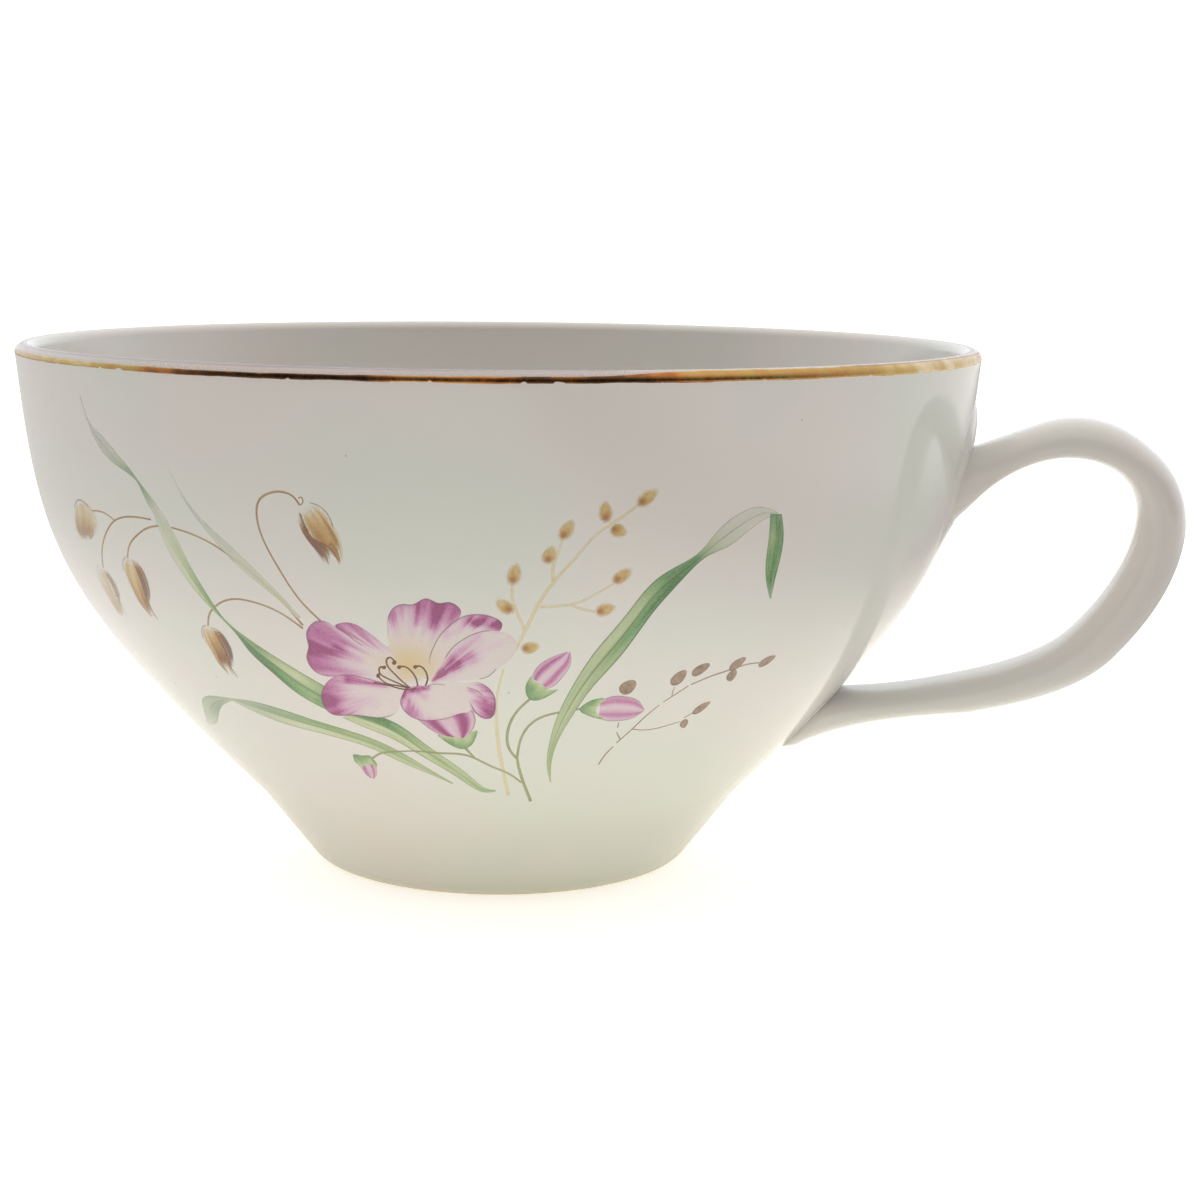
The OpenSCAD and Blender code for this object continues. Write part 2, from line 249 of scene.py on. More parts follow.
def new_material(name):
    """An empty node material and its tree."""
    material = bpy.data.materials.new(name)
    material.use_nodes = True
    material.node_tree.nodes.clear()
    return material, material.node_tree


def glazed_porcelain():
    """Hard-paste porcelain, slip cast and dipped in clear glaze: warm ivory, glossy, a little uneven.

    Faint pink and green clouds lie in the body, a few iron specks show, and the glaze waves slightly.
    """
    material, tree = new_material("glazed_porcelain")
    place = add(tree, "ShaderNodeTexCoord").outputs["Object"]
    clouds = add(tree, "ShaderNodeTexNoise", {"Vector": place, "Scale": per(26), "Detail": 2.0})
    body = add(tree, "ShaderNodeValToRGB", {"Fac": clouds.outputs["Fac"]},
               stops=[(0.38, "#e4e0dd"), (0.5, "#e2e1de"), (0.62, "#dee2dc")])
    cells = add(tree, "ShaderNodeTexVoronoi", {"Vector": place, "Scale": per(5.5)})
    speck = add(tree, "ShaderNodeMapRange", {
        "Value": cells.outputs["Distance"], "From Min": 0.012, "From Max": 0.03,
        "To Min": 0.5, "To Max": 0.0})
    colour = add(tree, "ShaderNodeMix", {
        "Factor": speck.outputs["Result"], "A": body.outputs["Color"], "B": linear("#8a7460")},
        data_type="RGBA")
    waves = add(tree, "ShaderNodeTexNoise", {"Vector": place, "Scale": per(9), "Detail": 1.0})
    bump = add(tree, "ShaderNodeBump", {
        "Height": waves.outputs["Fac"], "Strength": 1.0, "Distance": 0.012 * MM})
    gloss = add(tree, "ShaderNodeMapRange", {
        "Value": waves.outputs["Fac"], "From Min": 0.3, "From Max": 0.7, "To Min": 0.07, "To Max": 0.13})
    shader = add(tree, "ShaderNodeBsdfPrincipled", {
        "Base Color": colour.outputs["Result"], "Roughness": gloss.outputs["Result"], "IOR": 1.5,
        "Normal": bump.outputs["Normal"]})
    add(tree, "ShaderNodeOutputMaterial", {"Surface": shader.outputs["BSDF"]})
    return material


def bare_porcelain():
    """The same porcelain left bare on the standing ring and ground smooth: matt, chalky, faintly soiled."""
    material, tree = new_material("ground_bare_porcelain")
    place = add(tree, "ShaderNodeTexCoord").outputs["Object"]
    soil = add(tree, "ShaderNodeTexNoise", {"Vector": place, "Scale": per(1.5), "Detail": 4.0})
    colour = add(tree, "ShaderNodeValToRGB", {"Fac": soil.outputs["Fac"]},
                 stops=[(0.35, "#e6dfd0"), (0.6, "#d9cfbb"), (0.8, "#b9a98c")])
    grit = add(tree, "ShaderNodeTexNoise", {"Vector": place, "Scale": per(0.15), "Detail": 3.0})
    bump = add(tree, "ShaderNodeBump", {
        "Height": grit.outputs["Fac"], "Strength": 1.0, "Distance": 0.01 * MM})
    shader = add(tree, "ShaderNodeBsdfPrincipled", {
        "Base Color": colour.outputs["Color"], "Roughness": 0.72, "IOR": 1.5,
        "Normal": bump.outputs["Normal"]})
    add(tree, "ShaderNodeOutputMaterial", {"Surface": shader.outputs["BSDF"]})
    return material


def fired_gold():
    """Liquid bright gold, brushed round the lip and fired: a metal film, brown where it lies thin and
    pale where it is worn. The paint's red holds how rich it is, and a painted highlight on the lip's top."""
    material, tree = new_material("fired_liquid_gold")
    place = add(tree, "ShaderNodeTexCoord").outputs["Object"]
    laid = add(tree, "ShaderNodeAttribute", attribute_name="paint")
    parts = add(tree, "ShaderNodeSeparateColor", {"Color": laid.outputs["Color"]})
    film = add(tree, "ShaderNodeTexNoise", {"Vector": place, "Scale": per(2.5), "Detail": 4.0})
    uneven = add(tree, "ShaderNodeMapRange", {
        "Value": film.outputs["Fac"], "From Min": 0.3, "From Max": 0.7, "To Min": -0.13, "To Max": 0.13})
    tone = add(tree, "ShaderNodeMath", {0: parts.outputs["Red"], 1: uneven.outputs["Result"]},
               operation="ADD")
    colour = add(tree, "ShaderNodeValToRGB", {"Fac": tone.outputs["Value"]}, stops=[
        (0.0, "#5a412f"), (0.2, "#6c4e36"), (0.42, "#b97a45"), (0.6, "#b38f58"), (0.76, "#ba9d5b"),
        (1.0, "#d8c29c")])
    brush = add(tree, "ShaderNodeTexNoise", {"Vector": place, "Scale": per(0.5), "Detail": 3.0})
    rough = add(tree, "ShaderNodeMapRange", {
        "Value": brush.outputs["Fac"], "From Min": 0.3, "From Max": 0.7, "To Min": 0.16, "To Max": 0.34})
    bump = add(tree, "ShaderNodeBump", {
        "Height": brush.outputs["Fac"], "Strength": 1.0, "Distance": 0.012 * MM})
    shader = add(tree, "ShaderNodeBsdfPrincipled", {
        "Base Color": colour.outputs["Color"], "Metallic": 1.0, "Roughness": rough.outputs["Result"],
        "Normal": bump.outputs["Normal"]})
    add(tree, "ShaderNodeOutputMaterial", {"Surface": shader.outputs["BSDF"]})
    return material


def enamel(name, pigment, second, line, gloss):
    """Overglaze enamel: coloured glass printed on the glaze and fired, glossy, its pigment lying in fine
    grains. pigment is a ramp from bare glaze to full strength, second the colour that mixes in, line that
    of the pen work. The patch's paint holds strength, second, line and how much of the glaze it covers.
    """
    material, tree = new_material(name)
    paint = add(tree, "ShaderNodeAttribute", attribute_name="paint")
    parts = add(tree, "ShaderNodeSeparateColor", {"Color": paint.outputs["Color"]})
    place = add(tree, "ShaderNodeTexCoord").outputs["Object"]
    # The real grains are about 0.02 mm; these are 0.2 mm so that they show
    grains = add(tree, "ShaderNodeTexNoise", {"Vector": place, "Scale": per(0.2), "Detail": 2.0})
    uneven = add(tree, "ShaderNodeMapRange", {
        "Value": grains.outputs["Fac"], "From Min": 0.3, "From Max": 0.7, "To Min": -0.06, "To Max": 0.06})
    strength = add(tree, "ShaderNodeMath", {
        0: parts.outputs["Red"], 1: uneven.outputs["Result"]}, operation="ADD")
    colour = add(tree, "ShaderNodeValToRGB", {"Fac": strength.outputs["Value"]}, stops=pigment)
    warmed = add(tree, "ShaderNodeMix", {
        "Factor": parts.outputs["Green"], "A": colour.outputs["Color"], "B": linear(second)},
        data_type="RGBA")
    drawn = add(tree, "ShaderNodeMix", {
        "Factor": parts.outputs["Blue"], "A": warmed.outputs["Result"], "B": linear(line)},
        data_type="RGBA")
    # The film is thinner than light notices: it casts no shade on the glaze just under it
    path = add(tree, "ShaderNodeLightPath")
    passing = add(tree, "ShaderNodeMath", {
        0: path.outputs["Is Shadow Ray"], 1: path.outputs["Is Diffuse Ray"]}, operation="MAXIMUM")
    shown = add(tree, "ShaderNodeMapRange", {
        "Value": passing.outputs["Value"], "To Min": paint.outputs["Alpha"], "To Max": 0.0})
    shader = add(tree, "ShaderNodeBsdfPrincipled", {
        "Base Color": drawn.outputs["Result"], "Roughness": gloss, "IOR": 1.52,
        "Alpha": shown.outputs["Result"]})
    add(tree, "ShaderNodeOutputMaterial", {"Surface": shader.outputs["BSDF"]})
    return material


PORCELAIN = glazed_porcelain()
BARE = bare_porcelain()
GOLD = fired_gold()
MAUVE = enamel(
    "manganese_mauve_enamel",
    [(0.0, "#dfdad7"), (0.3, "#d9c1d2"), (0.55, "#cb9cbd"), (0.78, "#bb74a5"), (1.0, "#9c4e80")],
    "#d9c69c", "#70465f", 0.14)
GREEN = enamel(
    "copper_green_enamel",
    [(0.0, "#e0e2d2"), (0.3, "#ccd4b2"), (0.6, "#a5bb8d"), (0.82, "#7ea574"), (1.0, "#578254")],
    "#a9b0a6", "#586b4c", 0.15)
OLIVE = enamel(
    "olive_green_enamel",
    [(0.0, "#dcdcc4"), (0.5, "#9da274"), (1.0, "#7d8550")],
    "#c3ae72", "#5f6640", 0.16)
IRON_BROWN = enamel(
    "iron_brown_enamel",
    [(0.0, "#e4dccb"), (0.3, "#d8c49c"), (0.55, "#c5a673"), (0.8, "#aa8557"), (1.0, "#8c6544")],
    "#7c6163", "#6d4c38", 0.16)
OCHRE = enamel(
    "antimony_ochre_enamel",
    [(0.0, "#e4ddc9"), (0.4, "#d9caa0"), (0.75, "#ccb27a"), (1.0, "#bd9b5c")],
    "#b57c48", "#8a5a3c", 0.16)
WORN_GOLD = enamel(
    "worn_gold_film",
    [(0.0, "#e6dedf"), (0.5, "#cdbdbb"), (1.0, "#b9a49f")],
    "#8a7684", "#6a5868", 0.12)
UMBER = enamel(
    "umber_brown_enamel",
    [(0.0, "#dcd0c4"), (0.5, "#ad9683"), (1.0, "#836b5b")],
    "#b08a80", "#66504c", 0.16)

# ---- the bowl ----

WALL_OUT = [
    (RIM_R, CUP_H - LIP_R), (RIM_R - 2, CUP_H - 20.5), (ANKLE_R + 21, FOOT_H + 21.3), (ANKLE_R, FOOT_H)]
WALL_IN = [
    (RIM_R - 2, CUP_H - LIP_R), (RIM_R - 4, CUP_H - 20.5),
    (ANKLE_R + 18.8, FOOT_H + 22.3), (ANKLE_R - 1.6, FOOT_H + 2.7)]
FLOOR_IN = [WALL_IN[3], (ANKLE_R - 5.2, FOOT_H - 0.8), (12, FLOOR_Z), (0, FLOOR_Z)]
LIP_MID = (RIM_R - LIP_R, CUP_H - LIP_R)
BARE_TOP = -66  # degrees round the foot's edge where the glaze stops
SECTORS = 320

wall_line = cubic(WALL_OUT, np.linspace(0, 1, 500))[::-1]



def wall_r(z):
    """Outer radius of the glazed wall at height z."""
    return np.interp(z, wall_line[:, 1], wall_line[:, 0])


def bowl():
    """The glazed bowl and foot in one turned skin, from the middle of the inside floor over the lip and
    down to the recess under the foot."""
    inner = STAND_R - STAND_W
    profile = np.concatenate([
        [(0, FLOOR_Z)],
        cubic(FLOOR_IN, np.linspace(1, 0, 26))[1:],
        cubic(WALL_IN, np.linspace(1, 0, 62))[1:],
        arc(LIP_MID, LIP_R, 180, 0, 22)[1:-1],
        cubic(WALL_OUT, np.linspace(0, 1, 78)),
        arc(EDGE_MID, EDGE_R, -math.degrees(FOOT_LEAN), BARE_TOP, 10),
        arc(EDGE_MID, EDGE_R - 0.1, BARE_TOP - 1, -90, 5),
        [(inner + 0.1, 0.1)],
        cubic([(inner, 0.3), (inner - 0.3, 1.4), (RECESS_R, RECESS_Z - 0.3), (RECESS_R - 2, RECESS_Z)],
              np.linspace(0, 1, 14)),
        [(r, RECESS_Z) for r in np.linspace(RECESS_R - 3, 0, 8)],
    ])
    return lathe("bowl_glazed", profile[::-1], SECTORS, PORCELAIN)


def standing_ring():
    """The ring that the cup stands on, where the glaze was wiped off."""
    inner = STAND_R - STAND_W
    profile = np.concatenate([
        arc(EDGE_MID, EDGE_R, -90, BARE_TOP, 8),
        arc(EDGE_MID, EDGE_R - 0.2, BARE_TOP - 1, -88, 5),
        [(inner + 0.2, 0.25)],
        arc((inner + 0.28, 0.3), 0.3, 180, 270, 6),
    ])
    return lathe("standing_ring", profile, SECTORS, BARE, closed=True)


def round_lip(start, end, film, turn, across):
    """The places of a film round the lip. Each runs from the angle start on the lip's arc to end; below
    the arc's zero, the same number counts down the wall. film is its height over the glaze."""
    run = start + (end - start) * across
    radius = LIP_MID[0] + (LIP_R + film) * np.cos(np.maximum(run, 0))
    height = LIP_MID[1] + (LIP_R + film) * np.sin(np.maximum(run, 0)) + np.minimum(run, 0) * LIP_R
    radius = np.where(run < 0, wall_r(height) + film, radius)
    return np.stack([radius * np.cos(turn), radius * np.sin(turn), height + 0 * turn], -1).reshape(-1, 3)


def from_spray(turn):
    """Degrees from the middle of the spray, from -180 to 180, of angles in radians."""
    return (np.degrees(turn) - SPRAY_TURN + 180) % 360 - 180


def brushed_to(turn):
    """How far up the lip's arc the gold reaches: higher where the brush leaned in."""
    seen = from_spray(turn)
    places = (-180, -60, -25, -8, 10, 20, 62, 85, 180)
    reach = np.interp(seen, places, (0.6, 0.5, 0.42, 0.52, 0.6, 1.3, 1.3, 0.8, 0.6))
    return reach + 0.06 * (noise(turn * 20, turn * 0, 5) - 0.5)


def gold_lip():
    """Gold on the lip's outer shoulder: a film that follows the lip and wall, its two edges let into
    the glaze, the lower one wavering as a brush leaves it and chipped in places."""
    sectors = 1440
    turn = np.linspace(0, 2 * np.pi, sectors, endpoint=False)
    across = np.linspace(0, 1, 13)[:, None]
    waver = 0.1 * (noise(turn * 14, turn * 0, 3) - 0.5) + 0.04 * (noise(turn * 60, turn * 0, 4) - 0.5)
    chips = 0.18 * smooth(0.9, 0.97, noise(turn * 75, turn * 0, 6))
    film = 0.035 * smooth(0, 0.12, across) * smooth(0, 0.12, 1 - across) - 0.012
    points = round_lip(brushed_to(turn), -0.08 + waver + chips, film, turn, across)
    seen = from_spray(turn)
    rich = np.interp(seen, (-180, -84, -66, -52, -42, -33, -14, -10, -2, 2, 13, 20, 38, 52, 80, 180),
                     (0.7, 0.95, 0.6, 0.76, 0.6, 0.1, 0.08, 0.44, 0.42, 0.14, 0.1, 0.5, 0.56, 0.85, 0.8, 0.7))
    tone = rich + 0.16 * (noise(turn * 40, across * 1.5, 7) - 0.5) + 0.12 * (1 - across)
    # Painted highlight: from 14 to 40 degrees past the spray's middle the gold's top edge is paler, as a
    # highlight line; from 36 to 85 degrees that edge is darker.
    painted_highlight = 0.3 * smooth(14, 20, seen) * smooth(40, 36, seen)
    dark = 0.6 * smooth(36, 41, seen) * smooth(85, 75, seen)
    tone = tone + smooth(0.25, 0.08, across) * (painted_highlight - dark)
    colours = np.stack([tone, 0 * tone, 0 * tone, 0 * tone + 1], -1).reshape(-1, 4)
    faces = grid_faces(len(across), sectors, True)[:, ::-1]
    return new_piece("gold_lip", points, faces.tolist(), GOLD, paint=colours)


def lip_haze():
    """The thin, worn film above the gold: a pale breath on the lip's round top, and a soft dark line along
    it, exp(-(d / 0.2)^2) of the share d of the film's width from the line's own place at 0.41."""
    sectors = 720
    turn = np.linspace(0, 2 * np.pi, sectors, endpoint=False)
    across = np.linspace(0, 1, 21)[:, None]
    seen = from_spray(turn)
    worn = (0.6 + 0.6 * noise(turn * 9, across, 8)) * (1 - smooth(10, 18, seen) * smooth(58, 48, seen))
    points = round_lip(1.95 + 0 * turn, brushed_to(turn) - 0.05, 0.006, turn, across)
    line = np.exp(-(((across - 0.41) / 0.2) ** 2)) * worn
    cover = 0.42 * smooth(0, 0.2, across) + 0.35 * line
    colours = np.stack([0.6 + 0 * line, 0 * line, line, cover], -1)
    faces = grid_faces(len(across), sectors, True)[:, ::-1]
    colours = np.clip(colours, 0, 1).reshape(-1, 4)
    return new_piece("lip_haze", points, faces.tolist(), WORN_GOLD, paint=colours)


# ---- the handle ----

LOOP_OUT = [
    (46.6, 44.2), (49.6, 45.2), (53.0, 46.6), (56.6, 47.9), (60.4, 49.1), (64.2, 48.2), (67.3, 45.4),
    (70.3, 43.0), (71.3, 39.6), (70.9, 36.4), (70.3, 31.8), (67.6, 27.6), (64.2, 23.9),
    (60.8, 20.4), (55.0, 18.9), (50.0, 17.8), (44.5, 17.2), (37.0, 16.5), (31.5, 13.2)]
LOOP_IN = [
    (44.6, 34.4), (45.8, 35.4), (47.4, 37.2), (49.0, 38.9), (51.8, 42.4), (55.9, 44.6), (59.5, 44.5),
    (63.6, 44.4), (66.3, 42.0), (66.1, 38.5), (65.9, 34.6), (63.4, 30.0), (59.6, 26.3),
    (56.0, 23.0), (50.0, 21.8), (45.1, 20.6), (41.6, 19.8), (38.8, 19.5), (36.9, 19.4)]
STRAP_W = 9.0  # width of the loop
PAD_W = 11.0  # its width where it meets the wall
SINK = 0.2  # how far its ends are let into the wall
UPPER_PAD = (49.8, 33.0)  # top and bottom of the slip that lutes the loop's upper end to the wall
LOWER_PAD = (19.9, 12.2)
SLIP = 0.6  # thickness of that slip
SLIP_OVER = 0.5  # how far it shows at each side of the loop
SLIP_IN = 0.03  # how far its edge is let into the wall
SLIP_FADE = (-1, 8)  # heights over its bottom between which it grows to its thickness
LOOP_END = (len(LOOP_OUT) - 1) // 3


def squared(turn, power=2.8):
    """Superellipse, flatter than a circle: sign(c)|c|^(2/p) and sign(s)|s|^(2/p) of the turn's cosine c
    and sine s."""
    c, s = np.cos(turn), np.sin(turn)
    return np.sign(c) * np.abs(c) ** (2 / power), np.sign(s) * np.abs(s) ** (2 / power)


def loop_section(t, turn, sink):
    """Rings of the loop at stations t: half the gap between its outer and inner edges by half its width.

    Near the wall no point comes further in than the wall less sink, plus the distance from the end.
    """
    outer, inner = chain(LOOP_OUT, t), chain(LOOP_IN, t)
    middle, half = (outer + inner) / 2, (outer - inner) / 2
    root = np.maximum(0, 1 - t) ** 2 + np.maximum(0, 1 - (LOOP_END - t)) ** 2
    width = (STRAP_W + (PAD_W - STRAP_W) * root) / 2
    c, s = squared(turn)
    x = middle[:, :1] + half[:, :1] * c
    z = middle[:, 1:] + half[:, 1:] * c
    y = width[:, None] * s
    to_end = np.minimum(t, LOOP_END - t)[:, None]
    wall_x = np.sqrt((wall_r(z) - sink) ** 2 - y**2) + to_end
    return np.stack([np.where(to_end < 0.001, wall_x, np.maximum(x, wall_x)), y, z], -1)


def handle_loop():
    """The cast loop: sections carried along it from pad to pad, its ends let into the wall."""
    sides = 72
    turn = np.linspace(0, 2 * np.pi, sides, endpoint=False)
    rings = loop_section(np.linspace(0, LOOP_END, 220), turn, SINK)
    rows = len(rings)
    ends = [rings[0].mean(0), rings[-1].mean(0)]
    points = np.concatenate([rings.reshape(-1, 3), ends])
    here = np.arange(sides)
    after = (here + 1) % sides
    base = (rows - 1) * sides
    caps = np.concatenate([
        np.stack([np.full(sides, rows * sides), here, after], -1),
        np.stack([np.full(sides, rows * sides + 1), base + after, base + here], -1),
    ])
    faces = grid_faces(rows, sides, True)[:, ::-1].tolist() + caps.tolist()
    return new_piece("handle_loop", points, faces, PORCELAIN)


def slip_pad(name, top, bottom):
    """A low mound of slip round one end of the loop: on the wall, a superellipse from top to bottom, its
    height SLIP (1 - s^6) with s from 0 in the middle to 1 at the edge, fading towards the bottom."""
    sides, rings = 96, 24
    turn = np.linspace(0, 2 * np.pi, sides, endpoint=False)
    middle, half = (top + bottom) / 2, (top - bottom) / 2
    c, s = squared(turn, 2.5)
    share = np.sqrt(np.linspace(0, 1, rings))[1:, None]
    z = middle + half * share * c
    y = (PAD_W / 2 + SLIP_OVER) * share * s
    grown = smooth(bottom + SLIP_FADE[0], bottom + SLIP_FADE[1], z)
    up = SLIP * (1 - share**6) * grown - SLIP_IN * share
    grid = np.stack([np.sqrt((wall_r(z) + up) ** 2 - y**2), y, z], -1)
    points = np.concatenate([grid.reshape(-1, 3), [[wall_r(middle) + SLIP, 0, middle]]])
    here = np.arange(sides)
    caps = np.stack([np.full(sides, (rings - 1) * sides), (here + 1) % sides, here], -1)
    faces = grid_faces(rings - 1, sides, True).tolist() + caps.tolist()
    return new_piece(name, points, faces, PORCELAIN)


# ---- the fired spray: places are (a, z), a in degrees to the right of its middle, z the height ----

FIRST_LIFT = 0.012  # mm that the lowest print lies above the glaze
LAYER_LIFT = 0.004  # mm from one layer of print to the next


def degrees_of(length, z):
    """The angle that a length along the wall's round takes at height z."""
    return np.degrees(length / wall_r(z))


def strip(near, far, columns):
    """The places near (1 - v) + far v between two lines, for u along them and v across, as four grids."""
    v = np.linspace(0, 1, columns)[None, :] + np.zeros((len(near), 1))
    u = np.linspace(0, 1, len(near))[:, None] + 0 * v
    a, z = (near[:, None, k] * (1 - v) + far[:, None, k] * v for k in (0, 1))
    return a, z, u, v


def stroke(path, count, columns=5):
    """A brush stroke: a spline through (a, z, half width) rows, and its width to each side of it."""
    line = spline(path, count)
    along_wall = wall_r(line[:, 1]) * np.gradient(np.radians(line[:, 0]))
    across = np.stack([-np.gradient(line[:, 1]), along_wall], -1)
    across *= line[:, 2:] / np.linalg.norm(across, axis=1, keepdims=True)
    across[:, 0] = degrees_of(across[:, 0], line[:, 1])
    return strip(line[:, :2] + across, line[:, :2] - across, columns)


def oval(foot, tip, half_width, count=28, columns=7):
    """An egg with its ends at foot and tip: middle + half length cos w + half width sin w (1 - 0.2 cos w)."""
    foot, tip = np.array(foot, float), np.array(tip, float)
    middle = (foot + tip) / 2
    scale = np.array([math.radians(wall_r(middle[1])), 1.0])
    half = (tip - foot) / 2 * scale
    side = np.array([-half[1], half[0]]) / np.linalg.norm(half) * half_width
    turn = np.linspace(0, 2 * np.pi, count)[:, None]
    edge = middle + (half * np.cos(turn) + side * np.sin(turn) * (1 - 0.2 * np.cos(turn))) / scale
    return strip(np.broadcast_to(middle, edge.shape), edge, columns)


def paint(strength, second=0.0, line=0.0, cover=1.0):
    """The four numbers that the enamel reads, for each place of a patch."""
    return np.clip(np.stack(np.broadcast_arrays(strength, second, line, cover), -1), 0, 1)


def wash(a, z, start, end, width):
    """exp(-(d / width)^2), d being the distance in mm on the wall from the line between start and end."""
    flat = np.stack([np.radians(a) * wall_r(z), z], -1)
    first, last = ([math.radians(p[0]) * wall_r(p[1]), p[1]] for p in (start, end))
    run = np.array(last) - first
    share = np.clip((flat - first) @ run / (run @ run), 0, 1)[..., None]
    return np.exp(-np.sum((flat - first - share * run) ** 2, -1) / width**2)


def enamel_piece(name, material, patches):
    """One print of (grids, layer, paint) patches, each at its layer's lift over the wall.

    A face's area comes out negative where it runs clockwise, and it is then turned round to face outwards.
    """
    points, faces, uv, paints, count = [], [], [], [], 0
    for (a, z, u, v), layer, colours in patches:
        quads = grid_faces(*a.shape, False)
        corner = np.stack([a.ravel(), z.ravel()], -1)[quads]
        one, two = corner[:, 2] - corner[:, 0], corner[:, 3] - corner[:, 1]
        area = one[:, 0] * two[:, 1] - one[:, 1] * two[:, 0]
        quads = np.where(area[:, None] < 0, quads[:, ::-1], quads)
        r = wall_r(z) + FIRST_LIFT + LAYER_LIFT * layer
        turn = np.radians(SPRAY_TURN + a)
        points.append(np.stack([r * np.cos(turn), r * np.sin(turn), z], -1).reshape(-1, 3))
        faces.append(quads + count)
        uv.append(np.stack([u, v], -1).reshape(-1, 2))
        paints.append((colours + np.zeros(a.shape + (1,))).reshape(-1, 4))
        count += a.size
    return new_piece(name, np.concatenate(points), np.concatenate(faces).tolist(), material,
                     np.concatenate(uv), np.concatenate(paints))


def along(u, values):
    """Values given at even steps along a patch, read at u."""
    return np.interp(u, np.linspace(0, 1, len(values)), values)


# ---- the flower ----

def petal(layer, base, outline, reach, depth, washes=(), glow=0.0, seed=0):
    """A petal: rays from its base to its outline. Mauve lies along the outline as far in as reach, a share
    of the ray, up to depth, both given at even steps along it, and breaks into streaks; washes add to it,
    and the throat's cream glows into it."""
    rim = spline(outline, 150)
    share = np.linspace(0, 1, len(rim))[:, None]
    grids = strip(np.array(base[0]) * (1 - share) + np.array(base[1]) * share, rim, 46)
    a, z, u, v = grids
    streak = noise(u * 26, v * 2.2, seed) - 0.5
    fine = noise(u * 62, v * 3.1, seed + 40) - 0.5
    inward = v + 0.5 * streak * along(u, reach) + 0.12 * fine - 1 + along(u, reach)
    strength = 0.06 + along(u, depth) * smooth(0, along(u, reach) * 1.15 + 0.02, inward)
    for start, end, width, deep in washes:
        strength = strength + deep * wash(a, z, start, end, width) * (1 + 0.9 * streak + 0.5 * fine)
    cream = glow * np.exp(-(((a + 11.2) / 3.6) ** 2 + ((z - 28.3) / 2.0) ** 2))
    edge = 0.35 * smooth(0.965, 0.995, v) * along(u, depth)
    return grids, layer, paint(strength * (1 - cream), cream, edge)


def throat():
    """The cream throat: an oval that fades out at its edge."""
    grids = oval((-15.6, 28.0), (-7.6, 28.4), 2.3, 60, 16)
    v = grids[3]
    return grids, 4, paint(0.05, 0.9 * smooth(1, 0.3, v), 0.0, smooth(1, 0.75, v))


